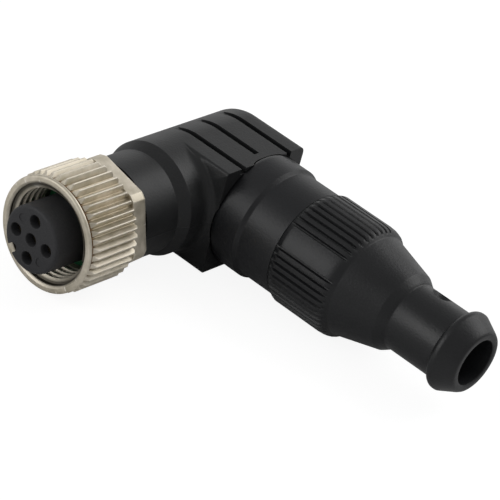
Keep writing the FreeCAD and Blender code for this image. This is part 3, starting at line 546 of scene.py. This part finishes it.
def moulded_black(name, low, high, roughness, cloud_size=5.88):
    """Injection-moulded black plastic. The spark-eroded mould leaves a fine grain and the flow
    leaves clouds a few millimetres wide, so the eye sees a soft, slightly uneven sheen.
    """
    material, tree, place = new_material(name)
    cloud = add_node(
        tree, "TexNoise", {"Scale": 1 / (cloud_size * MM), "Detail": 3}, {"Vector": place}
    )
    speck = add_node(
        tree, "TexNoise", {"Scale": 1 / (DRAWN_SPECK * MM), "Detail": 1}, {"Vector": place}
    )
    mottle = add_node(
        tree, "Mix", {"data_type": "FLOAT", 0: 0.5},
        {2: cloud.outputs["Fac"], 3: speck.outputs["Fac"]},
    )
    tone = add_node(
        tree, "ValToRGB", {"ramp": ((0.35, low), (0.65, high))}, {"Fac": mottle.outputs[0]}
    )
    rough = add_node(
        tree, "MapRange",
        {"From Min": 0.3, "From Max": 0.7, "To Min": roughness - 0.05, "To Max": roughness + 0.05},
        {"Value": cloud.outputs["Fac"]},
    )
    grain = add_node(
        tree, "TexNoise", {"Scale": 1 / (DRAWN_GRAIN * MM), "Detail": 3}, {"Vector": place}
    )
    soft_edge = add_node(tree, "Bevel", {"samples": 4, "Radius": 0.06 * MM})
    bump = add_node(
        tree, "Bump", {"Strength": 0.6, "Distance": 0.04 * MM},
        {"Height": grain.outputs["Fac"], "Normal": soft_edge.outputs["Normal"]},
    )
    shader = add_node(
        tree, "BsdfPrincipled", {"IOR": 1.45},
        {"Base Color": tone.outputs["Color"], "Roughness": rough.outputs["Result"],
         "Normal": bump.outputs["Normal"]},
    )
    add_node(tree, "OutputMaterial", links={"Surface": shader.outputs[0]})
    return material


carrier_plastic = moulded_black("black_polyamide_carrier", "#2A2A2C", "#343436", 0.6)
settle(insert, carrier_plastic, "housing", "contact_insert")


# Seal ring
# A green fluoro-rubber ring that is stretched over the plug's foot, with a rounded lip that
# the mating connector presses on.

SEAL_HOLE = WAIST_RADIUS + 0.02
DRAWN_PEBBLE = 0.2


def soft_rubber(name, low, high, roughness):
    """Moulded rubber: the eye sees a dull skin with a faint bloom, in patches 1.4 mm wide, and
    a pebble from the mould. The real pebble is under 0.1 mm and is drawn coarser.
    """
    material, tree, place = new_material(name)
    bloom = add_node(tree, "TexNoise", {"Scale": 1 / (1.43 * MM), "Detail": 3}, {"Vector": place})
    tone = add_node(
        tree, "ValToRGB", {"ramp": ((0.3, low), (0.7, high))}, {"Fac": bloom.outputs["Fac"]}
    )
    pebble = add_node(tree, "TexVoronoi", {"Scale": 1 / (DRAWN_PEBBLE * MM)}, {"Vector": place})
    bump = add_node(
        tree, "Bump", {"Strength": 0.2, "Distance": 0.02 * MM},
        {"Height": pebble.outputs["Distance"]},
    )
    shader = add_node(
        tree, "BsdfPrincipled", {"Roughness": roughness, "IOR": 1.48},
        {"Base Color": tone.outputs["Color"], "Normal": bump.outputs["Normal"]},
    )
    add_node(tree, "OutputMaterial", links={"Surface": shader.outputs[0]})
    return material


seal = turned_piece(
    "seal_ring_lip", round_mating_axis,
    [(seal_high[1], SEAL_HOLE), (seal_high[1], seal_high[0]), (seal_low[1], seal_high[0]),
     (seal_low[1], SEAL_HOLE)],
    columns=144, cut=[0.05, 0.1, 0.3, 0.2],
)
green_rubber = soft_rubber("green_fluoro_rubber", "#237044", "#308655", 0.5)
settle(seal, green_rubber, "housing", "seal_ring")


# Elbow housing
# One black moulding. A round neck carries the nut, and runs on as the round back of a square
# end with finger grooves above and below. The barrel snaps into the dished open end, and a
# fine line shows where the mould's halves met.

elbow_low, elbow_high = corners("elbow_housing")
ELBOW = 27.8
NECK_RADIUS = elbow_high[2]
COLLAR_RADIUS = 6.36
BOX_END = elbow_high[0]
# Distances from the cable's axis towards the mating face, and BOX_FAR the other way.
BOX_NEAR = elbow_high[1] - ELBOW + 0.1
BOX_FAR = BOX_NEAR - 0.42
NECK_FLANGE = 10.7
NECK_COLLAR = NECK_FLANGE + 1.5
NECK_END = ELBOW - elbow_low[1]
INSERT_BORE = 4.9
INSERT_BORE_END = -4.4
NEAR_ROUND = 0.4
FAR_ROUND = 0.8
BLEND = 1.6
LINE_HEIGHT = 0.035
LINE_HALF = math.radians(0.5)
# The open end's bore and dish, along the cable's axis.
CABLE_BORE_START = -0.3
CABLE_BORE = 4.3
SPIGOT_BORE_START = 2.8
SPIGOT_BORE = 5.9
DISH_START = BOX_END - 0.95
DISH_CENTRE = (BOX_END + 0.3, 6.5)
DISH_ARC = 1.1
PAST_END = BOX_END + 1.5
# The finger grooves lie side by side across the mating axis and run along the cable's axis.
GROOVE_PITCH = 4.1
GROOVE_SHIFT = 0.24
GROOVE_HALF = 0.43
GROOVE_FLOOR = NECK_RADIUS - 0.78
GROOVE_BACK = -6.0
GROOVE_STOP = BOX_END - 1.65
GROOVE_OPEN = BOX_END + 1
ABOVE_ALL = NECK_RADIUS + 0.9


def soft_least(a, b, width):
    """The smaller of two distances, blended where they differ by under width."""
    share = np.clip(0.5 + 0.5 * (b - a) / width, 0, 1)
    return b + (a - b) * share - width * share * (1 - share)


def elbow_distance(x, y, z):
    """Distance from the elbow's outer skin, below zero inside, y towards the mating face.

    It is the least of the distances from the round neck and from the square end, blended on
    the near side only, and more widely the further the square stands out of the round.
    """
    ring = np.hypot(x, z)
    slope = np.clip((y - NECK_FLANGE) / (NECK_COLLAR - NECK_FLANGE), 0, 1)
    neck = ring - (NECK_RADIUS - (NECK_RADIUS - COLLAR_RADIUS) * slope)
    beside = np.maximum(y - (BOX_NEAR - NEAR_ROUND), 0)
    above = np.maximum(np.abs(z) - (NECK_RADIUS - NEAR_ROUND), 0)
    square = np.maximum(np.hypot(beside, above) - NEAR_ROUND, -x)
    width = BLEND * smooth_step(0.02, 0.55, x / np.maximum(ring, 0.01)) + 0.05
    near = smooth_step(BOX_NEAR - 0.3, BOX_NEAR + 0.4, y)
    return np.minimum(neck, square) * (1 - near) + soft_least(neck, square, width) * near


def stretch(start, end, rows):
    """Stations from start towards end, without the end itself: start + (end - start) i / rows."""
    return start + (end - start) * np.arange(rows) / rows


def elbow_turns():
    """Turns about the mating axis, close together at the square's corners and the mould's line."""
    corner = math.atan2(NECK_RADIUS, BOX_END)
    line = np.radians([-1.2, -0.5, 0, 0.5, 1.2])
    lower_flat = stretch(-corner, line[0], 34)
    return np.concatenate([
        lower_flat, line, -lower_flat[:4:-1], np.linspace(corner - 0.09, corner, 12),
        np.linspace(corner, math.pi / 2, 60)[1:], stretch(math.pi / 2, math.pi + line[0], 54)[1:],
        math.pi + line, stretch(3 * math.pi / 2, math.pi + line[-1], 54)[::-1],
        stretch(3 * math.pi / 2, FULL_TURN - corner, 60)[1:],
    ])


def elbow_points():
    """The elbow's skin on stations along the mating axis and turns about it, then its bore.

    Along each ray from the axis the radius is found by halving, 40 times, where the distance
    is zero, and it stops at the flat end of the square part. The far edge drops by a quarter
    circle, and the mould's line stands up at the turns 0 and 180 degrees.
    """
    quarter = np.linspace(0, math.pi / 2, 7)
    body = np.concatenate([
        stretch(FAR_ROUND - BOX_FAR, BOX_NEAR - 1.2, 14),
        stretch(BOX_NEAR - 1.2, BOX_NEAR - 0.02, 18),
        stretch(BOX_NEAR - 0.02, BOX_NEAR + 2.6, 40),
        stretch(BOX_NEAR + 2.6, NECK_FLANGE - 0.05, 4),
        NECK_FLANGE + np.array([-0.05, 0, 0.05, 0.4, 0.8, 1.2, 1.45, 1.5, 1.55]),
        np.linspace(NECK_COLLAR + 0.5, NECK_END, 6),
    ])
    y = np.concatenate([FAR_ROUND * (1 - np.cos(quarter)) - BOX_FAR, body])[:, None]
    drop = np.concatenate([FAR_ROUND * (1 - np.sin(quarter)), np.zeros(len(body))])[:, None]
    turn = elbow_turns()[None, :]
    ahead = np.cos(turn)
    low = np.zeros((y.size, turn.size))
    high = np.full_like(low, 12.0)
    for _ in range(40):
        middle = (low + high) / 2
        inside = elbow_distance(middle * ahead, y, middle * np.sin(turn)) < 0
        low = np.where(inside, middle, low)
        high = np.where(inside, high, middle)
    end_reach = np.where(ahead > 0.3, BOX_END / np.maximum(ahead, 0.3), 99.0)
    flat_top = (turn > 0) & (ahead > 0) & (np.abs(y) < BOX_NEAR)
    steep = np.where(ahead > 0, np.abs(np.sin(turn)), 1)
    radius = np.minimum(low - drop / np.where(flat_top, np.maximum(steep, 0.5), 1), end_reach)
    from_line = np.abs((turn + math.pi / 2) % math.pi - math.pi / 2)
    ridge = LINE_HEIGHT * np.clip(1.6 - from_line / LINE_HALF, 0, 1)
    on_skin = (radius < end_reach - 0.05) & (y < NECK_END - 0.3) & (y > 1 - BOX_FAR)
    outer = round_mating_axis(radius + np.where(on_skin, ridge, 0), ELBOW - y, turn)
    inner = [
        (COLLAR_RADIUS - 0.12, NECK_END), (INSERT_BORE + 0.1, NECK_END),
        (INSERT_BORE, NECK_END - 0.1), (INSERT_BORE, INSERT_BORE_END),
        (NEAR_AXIS, INSERT_BORE_END), (NEAR_AXIS, -BOX_FAR),
    ]
    return np.concatenate([outer, [round_mating_axis(r, ELBOW - s, turn[0]) for r, s in inner]])


def round_cable_axis(radius, station, turn):
    """Points at a radius and turn about the cable axis: y, z on the circle, x along it."""
    beside, up = ELBOW + radius * np.cos(turn), radius * np.sin(turn)
    return np.stack(np.broadcast_arrays(station, beside, up), -1)


def block(name, low, high):
    """A plain box-shaped cutter between two corners."""
    x0, y0, z0 = low
    x1, y1, z1 = high
    rim = np.array([(x0, y0, z0), (x1, y0, z0), (x1, y1, z0), (x0, y1, z0)], float)
    return grid_piece(name, np.array([rim, rim + (0, 0, z1 - z0)]), capped=True)


elbow = grid_piece("elbow_skin", elbow_points())
dish = [
    (DISH_CENTRE[0] + DISH_ARC * math.cos(t), DISH_CENTRE[1] + DISH_ARC * math.sin(t))
    for t in np.linspace(math.pi, math.pi / 2, 14)
]
cutters = [turned_piece(
    "bore_cutter", round_cable_axis,
    [(CABLE_BORE_START, NEAR_AXIS), (CABLE_BORE_START, CABLE_BORE),
     (SPIGOT_BORE_START, CABLE_BORE), (SPIGOT_BORE_START, SPIGOT_BORE), (DISH_START, SPIGOT_BORE)]
    + dish
    + [(PAST_END, dish[-1][1]), (PAST_END, NEAR_AXIS)],
    columns=160, cut=0,
)]
for shift in (-GROOVE_PITCH, 0, GROOVE_PITCH):
    centre = ELBOW - GROOVE_SHIFT - shift
    for floor, roof in ((GROOVE_FLOOR, ABOVE_ALL), (-ABOVE_ALL, -GROOVE_FLOOR)):
        runs_out = floor > 0 and shift != 0
        cutters.append(block(
            "groove_cutter", (GROOVE_BACK, centre - GROOVE_HALF, floor),
            (GROOVE_OPEN if runs_out else GROOVE_STOP, centre + GROOVE_HALF, roof),
        ))
cut_away(elbow, cutters)
housing_plastic = moulded_black("black_polyamide_housing", "#131415", "#1C1D1E", 0.46)
settle(elbow, housing_plastic, "housing", "elbow_housing")


# Barrel
# The straight body, moulded in a smoother black. Its spigot snaps into the elbow, its collar
# nests in the elbow's dish, and the gland nut screws onto the tube at its front.

barrel_low, barrel_high = corners("barrel")
rubber_low, rubber_high = corners("barrel_seal")
cage_low, cage_high = corners("clamping_cage")
gland_low, gland_high = corners("gland_nut")
SPIGOT_END = barrel_low[0]
SPIGOT = 5.8
SEAL_GROOVE = (rubber_low[0] - 0.05, rubber_high[0] + 0.05)
SEAL_GROOVE_FLOOR = 5.35
COLLAR = barrel_high[2] - 0.005
COLLAR_REAR = BOX_END - 0.7
COLLAR_ROUND = 1.0
COLLAR_FRONT = BOX_END + 3.5
STEP_END = COLLAR_FRONT + 0.42
BARREL_FRONT = gland_low[0] - 0.06
TUBE_END = barrel_high[0]
TUBE_RADIUS = 5.95
BARREL_BORE = 4.95
CAGE_STOP = (cage_low[0] - 0.8, cage_low[0])
CAGE_STOP_RADIUS = 4.2

collar_round = [
    (COLLAR_REAR + COLLAR_ROUND * (1 + math.cos(t)), COLLAR - COLLAR_ROUND * (1 - math.sin(t)))
    for t in np.linspace(math.pi, math.pi / 2, 10)
]
barrel_piece = turned_piece(
    "barrel_shell", round_cable_axis,
    [(SPIGOT_END, BARREL_BORE), (SPIGOT_END, SPIGOT), (SEAL_GROOVE[0], SPIGOT),
     (SEAL_GROOVE[0], SEAL_GROOVE_FLOOR), (SEAL_GROOVE[1], SEAL_GROOVE_FLOOR),
     (SEAL_GROOVE[1], SPIGOT), (COLLAR_REAR, SPIGOT)]
    + collar_round
    + [(COLLAR_FRONT, COLLAR), (COLLAR_FRONT + 0.06, COLLAR - 0.02),
       (STEP_END, NECK_RADIUS + 0.05), (STEP_END + 0.12, NECK_RADIUS),
       (BARREL_FRONT, NECK_RADIUS), (BARREL_FRONT, TUBE_RADIUS), (TUBE_END, TUBE_RADIUS),
       (TUBE_END, BARREL_BORE), (CAGE_STOP[1], BARREL_BORE), (CAGE_STOP[1], CAGE_STOP_RADIUS),
       (CAGE_STOP[0], CAGE_STOP_RADIUS), (CAGE_STOP[0], BARREL_BORE)],
    columns=200, cut=0.04,
)
barrel_plastic = moulded_black("black_polyamide_barrel", "#121315", "#1A1B1E", 0.42, 8.33)
settle(barrel_piece, barrel_plastic, "housing", "barrel")


# Gland nut
# A moulded nut with ribs between four plain finger panels, a soft shoulder, a cone, and a thin
# tail with a flared mouth that keeps the cable from kinking. A pin hole goes into the tail.

ring_low, ring_high = corners("pressure_ring")
GLAND_REAR = gland_low[0] - 0.04
GLAND_END = gland_high[0]
GRIP = gland_high[2] - 0.01
VALLEY = 7.05
PANELS = 4
PANEL_TURN = math.radians(-32.7)
PANEL_HALF_DEGREES = 12.8
VALLEYS = 10
VALLEY_STEP_DEGREES = (360 / PANELS - 2 * PANEL_HALF_DEGREES) / (VALLEYS - 1)
CREASE = GLAND_REAR + 9.24
CREASE_RADIUS = 6.74
CONE_END = CREASE + 5.75
CONE_END_RADIUS = 5.2
TAIL_RADIUS = 4.35
FLARE_START = GLAND_END - 3.5
FLARE_CREST = FLARE_START + 0.8
FLARE_LAND = FLARE_CREST + 0.2
FLARE_RADIUS = 5.2
NOSE_START = FLARE_LAND + 0.2
NOSE_END = GLAND_END - 0.46
NOSE_SLOPE = 0.516
CABLE_RADIUS = 3.0
THROAT_END = CONE_END + 1.15
CAGE_ROOM_END = ring_high[0] + 0.1
CAGE_ROOM_FRONT = 3.9
CAGE_ROOM_RADIUS = 5.33
RING_SEAT = (ring_low[0] - 0.65, ring_low[0] - 0.1)
RING_SEAT_RADIUS = 5.18
THREAD_ROOM_START = gland_low[0] + 0.15
THREAD_ROOM_RADIUS = 6.03
# How far each row lies ahead of the rear face and below the grip.
REAR_BEVEL = (
    (0, 1.29), (0, 0.54), (0.02, 0.4), (0.08, 0.35), (0.39, 0.18), (0.67, 0.04), (0.77, 0),
)
# How far each row lies behind the crease and below the grip.
SHOULDER = (
    (1.45, 0.03), (1.15, 0.06), (0.85, 0.13), (0.6, 0.22), (0.43, 0.35), (0.27, 0.49),
    (0.15, 0.6), (0.07, 0.68), (0.02, 0.72),
)
# Shares of the cone's length, closer together where it meets its neighbours.
CONE_SHARES = (0.01, 0.02, 0.05, 0.15, 0.3, 0.45, 0.6, 0.75, 0.87, 0.95, 0.985, 0.995)
# How far each row lies past the cone and above the tail.
CONE_FOOT = (
    (0.03, 0.83), (0.2, 0.72), (0.5, 0.52), (0.8, 0.31), (1.03, 0.15), (1.07, 0.1),
    (1.12, 0.05), (1.18, 0.015), (1.26, 0),
)
# Distance from the end face and radius, out over the rim and into the bore.
RIM = (
    (0.25, 4.04), (0.11, 3.93), (0.03, 3.8), (0, 3.66), (0, 3.25), (0.03, 3.12), (0.1, 3.03),
    (0.25, CABLE_RADIUS),
)
HOLE_STATION = CONE_END + 3.6
HOLE_TURN = math.radians(70)
HOLE_RADIUS = 0.62
# Distance from the cable's axis and radius, from the bottom out through the sunk mouth.
HOLE_STEPS = (
    (2.2, HOLE_RADIUS), (3.6, HOLE_RADIUS), (3.75, HOLE_RADIUS + 0.12), (4.0, 1.0),
    (4.35, 1.35), (5.0, 2.1),
)


def gland_turns():
    """Turns about the cable axis, close together at each valley's walls, and its depth there.

    A valley's floor is 1.4 degrees wide and its walls lean out to 3.5 degrees at the ribs'
    tops, so the depth is 1 on the floor and 0 on the ribs and panels.
    """
    wall = ((0.68, 1), (0.82, 0.96), (1.62, 0.06), (1.75, 0))
    valley = [(-off, depth) for off, depth in wall[::-1]] + [(0, 1)] + list(wall)
    turns, depths = [], []
    for start in 360 / PANELS * np.arange(PANELS):
        panel = start + np.linspace(2.6 - PANEL_HALF_DEGREES, PANEL_HALF_DEGREES - 2.6, 9)
        turns.extend(panel)
        depths.extend([0] * len(panel))
        for place in range(VALLEYS):
            middle = start + PANEL_HALF_DEGREES + place * VALLEY_STEP_DEGREES
            turns.extend(middle + off for off, _ in valley)
            depths.extend(depth for _, depth in valley)
            if place < VALLEYS - 1:
                turns.append(middle + VALLEY_STEP_DEGREES / 2)
                depths.append(0)
    return np.radians(np.array(turns)) + PANEL_TURN, np.array(depths)


def gland_points():
    """The gland nut's surface: its outline carried round, lowered to the valleys' floor.

    The flare is a quarter ellipse that stands square on the tail and is level at its crest,
    then a cone that a small curve turns into the end face.
    """
    cone = [
        (CREASE + (CONE_END - CREASE) * s, CREASE_RADIUS + (CONE_END_RADIUS - CREASE_RADIUS) * s)
        for s in CONE_SHARES
    ]
    flare = [
        (FLARE_CREST - (FLARE_CREST - FLARE_START) * math.cos(t),
         TAIL_RADIUS + (FLARE_RADIUS - TAIL_RADIUS) * math.sin(t))
        for t in np.linspace(0, math.pi / 2, 14)
    ]
    nose = [
        (x, FLARE_RADIUS - 0.07 - (x - NOSE_START) * NOSE_SLOPE)
        for x in np.linspace(NOSE_START, NOSE_END, 6)
    ]
    rim = [(GLAND_END - back, radius) for back, radius in RIM]
    outer = (
        [(GLAND_REAR + ahead, GRIP - drop) for ahead, drop in REAR_BEVEL]
        + [(x, GRIP) for x in np.linspace(GLAND_REAR + 1.19, CREASE - 1.85, 12)]
        + [(CREASE - back, GRIP - drop) for back, drop in SHOULDER]
        + cone
        + [(CONE_END + ahead, TAIL_RADIUS + rise) for ahead, rise in CONE_FOOT]
        + [(x, TAIL_RADIUS) for x in np.linspace(CONE_END + 1.6, FLARE_START - 0.06, 12)]
        + flare
        + [(FLARE_LAND, FLARE_RADIUS), (FLARE_LAND + 0.06, FLARE_RADIUS - 0.01)]
        + nose
        + rim[:4]
    )
    inner = rim[4:] + [
        (FLARE_START - 1.9, CABLE_RADIUS), (THROAT_END, CABLE_RADIUS),
        (CAGE_ROOM_END, CAGE_ROOM_FRONT),
        (CAGE_ROOM_END, CAGE_ROOM_RADIUS), (RING_SEAT[1], CAGE_ROOM_RADIUS),
        (RING_SEAT[1], RING_SEAT_RADIUS), (RING_SEAT[0], RING_SEAT_RADIUS),
        (RING_SEAT[0], THREAD_ROOM_RADIUS), (THREAD_ROOM_START, THREAD_ROOM_RADIUS),
    ]
    turn, depth = gland_turns()
    station, radius = (np.array(outer)[:, [column]] for column in (0, 1))
    lowered = radius - depth[None, :] * np.maximum(radius - VALLEY, 0)
    inside = [round_cable_axis(np.full_like(turn, r), x, turn) for x, r in inner]
    return np.concatenate([round_cable_axis(lowered, station, turn[None, :]), inside])


def hole_cutter(columns=40):
    """A round cutter across the tail: centre + out * reach + (along cos a + across sin a) r."""
    around = np.arange(columns) / columns * FULL_TURN
    along = np.array([1, 0, 0])
    out = np.array([0, math.cos(HOLE_TURN), math.sin(HOLE_TURN)])
    across = np.array([0, -math.sin(HOLE_TURN), math.cos(HOLE_TURN)])
    ring = np.cos(around)[:, None] * along + np.sin(around)[:, None] * across
    centre = np.array([HOLE_STATION, ELBOW, 0])
    points = np.array([centre + out * reach + ring * r for reach, r in HOLE_STEPS])
    return grid_piece("pin_hole", points, capped=True)


gland = grid_piece("gland_shell", gland_points(), sharp_angle=28)
cut_away(gland, [hole_cutter()])
gland_plastic = moulded_black("black_polyamide_gland", "#121315", "#1A1B1D", 0.42, 7.14)
settle(gland, gland_plastic, "gland", "gland_nut")


# Inner pieces
# Gold-flashed brass contacts, tinned clamps and zinc-plated screws in a black block, and behind
# the gland nut a dark clamping cage and slip ring round a black rubber sleeve. The solids'
# shapes are right, so they only get their finishes.

METAL_STAIN = 0.833
TOOL_LINE = 0.1257


def plated_metal(name, low, high, roughness):
    """Thin plating on small turned parts: the eye sees tool lines and faint stains.

    A wave texture's bands lie 2 pi / 20 apart, divided by its scale.
    """
    material, tree, place = new_material(name)
    stain = add_node(
        tree, "TexNoise", {"Scale": 1 / (METAL_STAIN * MM), "Detail": 3}, {"Vector": place}
    )
    tone = add_node(
        tree, "ValToRGB", {"ramp": ((0.35, low), (0.65, high))}, {"Fac": stain.outputs["Fac"]}
    )
    lines = add_node(
        tree, "TexWave", {"Scale": FULL_TURN / 20 / (TOOL_LINE * MM), "Distortion": 1.5},
        {"Vector": place},
    )
    bump = add_node(
        tree, "Bump", {"Strength": 0.12, "Distance": 0.01 * MM}, {"Height": lines.outputs["Fac"]}
    )
    shader = add_node(
        tree, "BsdfPrincipled", {"Metallic": 1.0, "Roughness": roughness},
        {"Base Color": tone.outputs["Color"], "Normal": bump.outputs["Normal"]},
    )
    add_node(tree, "OutputMaterial", links={"Surface": shader.outputs[0]})
    return material


inner_finishes = {
    "socket_contact": plated_metal("gold_flashed_brass", "#6E675A", "#877B62", 0.42),
    "wire_clamp": plated_metal("tinned_brass", "#B8B2A6", "#D2CDC2", 0.35),
    "terminal_screw": plated_metal("zinc_plated_steel", "#A9ADB2", "#C6CACE", 0.3),
    "terminal_block": carrier_plastic,
    "clamping_cage": moulded_black("dark_acetal_cage", "#101112", "#161718", 0.5),
    "pressure_ring": moulded_black("dark_acetal_ring", "#121314", "#181919", 0.5),
    "cable_grommet": soft_rubber("black_grommet_rubber", "#0B0C0D", "#121314", 0.7),
    "barrel_seal": soft_rubber("black_seal_rubber", "#151617", "#1D1E20", 0.5),
}
for name, node in nodes.items():
    for start, finish in inner_finishes.items():
        if name.startswith(start):
            node.data.materials.clear()
            node.data.materials.append(finish)


# Studio
# A white table and a white room that is brighter behind, one wide soft light from above and
# behind, one from the front left, and a long lens at the photograph's angle. Its places and
# sizes are in metres.

TABLE_HALF = 3
GLOW = 0.9
BRIGHT_SIDE = (-0.42, 0.80, -0.42)
MIDDLE = (0.016, 0.018, 0.0)
LENS = 202.8
SENSOR = 36
CAMERA_PLACE = (0.17317, -0.21411, 0.17191)
CAMERA_RIGHT = (0.7169, 0.6571, 0.2330)
CAMERA_UP = (-0.5056, 0.2598, 0.8227)
CAMERA_BACK = (0.4801, -0.7076, 0.5184)

floor_level = cad_box[0][2]
floor_rim = ((-1, -1), (1, -1), (1, 1), (-1, 1))
floor_mesh = bpy.data.meshes.new("studio_floor")
floor_mesh.from_pydata(
    [(x * TABLE_HALF, y * TABLE_HALF, floor_level) for x, y in floor_rim], [], [(0, 1, 2, 3)]
)
floor = bpy.data.objects.new("studio_floor", floor_mesh)
bpy.context.scene.collection.objects.link(floor)
# White paper, darker to the light that it throws back and white to the camera and in gloss.
white_table, tree, _ = new_material("white_table")
ray = add_node(tree, "LightPath")
tone = add_node(
    tree, "ValToRGB", {"ramp": ((0, "#808080"), (1, "#E4E4E4"))},
    {"Fac": ray.outputs["Is Glossy Ray"]},
)
paper = add_node(tree, "BsdfDiffuse", links={"Color": tone.outputs["Color"]})
glow = add_node(
    tree, "Math", {"operation": "MULTIPLY", 1: GLOW}, {0: ray.outputs["Is Camera Ray"]}
)
shine = add_node(tree, "Emission", {"Color": (1, 1, 1, 1)}, {"Strength": glow.outputs[0]})
both = add_node(tree, "AddShader", links={0: paper.outputs[0], 1: shine.outputs[0]})
add_node(tree, "OutputMaterial", links={"Surface": both.outputs[0]})
floor_mesh.materials.append(white_table)

world = bpy.data.worlds.new("studio")
bpy.context.scene.world = world
world.use_nodes = True
tree = world.node_tree
tree.nodes.clear()
ray = add_node(tree, "LightPath")
toward = add_node(tree, "TexCoord").outputs["Generated"]
facing = add_node(
    tree, "VectorMath", {"operation": "DOT_PRODUCT", 1: BRIGHT_SIDE}, {0: toward}
)
level = add_node(
    tree, "MapRange", {"From Min": 0.45, "From Max": 0.9, "To Min": 0.4, "To Max": 1.2},
    {"Value": facing.outputs["Value"]},
)
white = add_node(tree, "Background", {"Color": (1, 1, 1, 1), "Strength": 1.0})
soft = add_node(tree, "Background", {"Color": (1, 1, 1, 1)}, {"Strength": level.outputs[0]})
backdrop = add_node(
    tree, "Math", {"operation": "MAXIMUM"},
    {0: ray.outputs["Is Camera Ray"], 1: ray.outputs["Is Transmission Ray"]},
)
sky = add_node(
    tree, "MixShader", links={0: backdrop.outputs[0], 1: soft.outputs[0], 2: white.outputs[0]}
)
add_node(tree, "OutputWorld", links={"Surface": sky.outputs[0]})


def soft_light(name, place, size, watts):
    """A square white soft box that faces the part's middle."""
    lamp = bpy.data.lights.new(name, "AREA")
    lamp.size = size
    lamp.energy = watts
    box = bpy.data.objects.new(name, lamp)
    box.location = place
    box.rotation_euler = (Vector(MIDDLE) - Vector(place)).to_track_quat("-Z", "Y").to_euler()
    bpy.context.scene.collection.objects.link(box)


soft_light("top_box", (0.14, 0.36, 0.34), 0.34, 0.8)
soft_light("left_box", (-0.22, -0.40, 0.20), 0.32, 0.75)

lens = bpy.data.cameras.new("camera")
lens.sensor_width = SENSOR
lens.lens = LENS
lens.clip_start = 0.01
camera = bpy.data.objects.new("camera", lens)
turned = Matrix((CAMERA_RIGHT, CAMERA_UP, CAMERA_BACK)).transposed().to_4x4()
camera.matrix_world = Matrix.Translation(CAMERA_PLACE) @ turned
bpy.context.scene.collection.objects.link(camera)
bpy.context.scene.camera = camera
bpy.context.scene.view_settings.view_transform = "Standard"
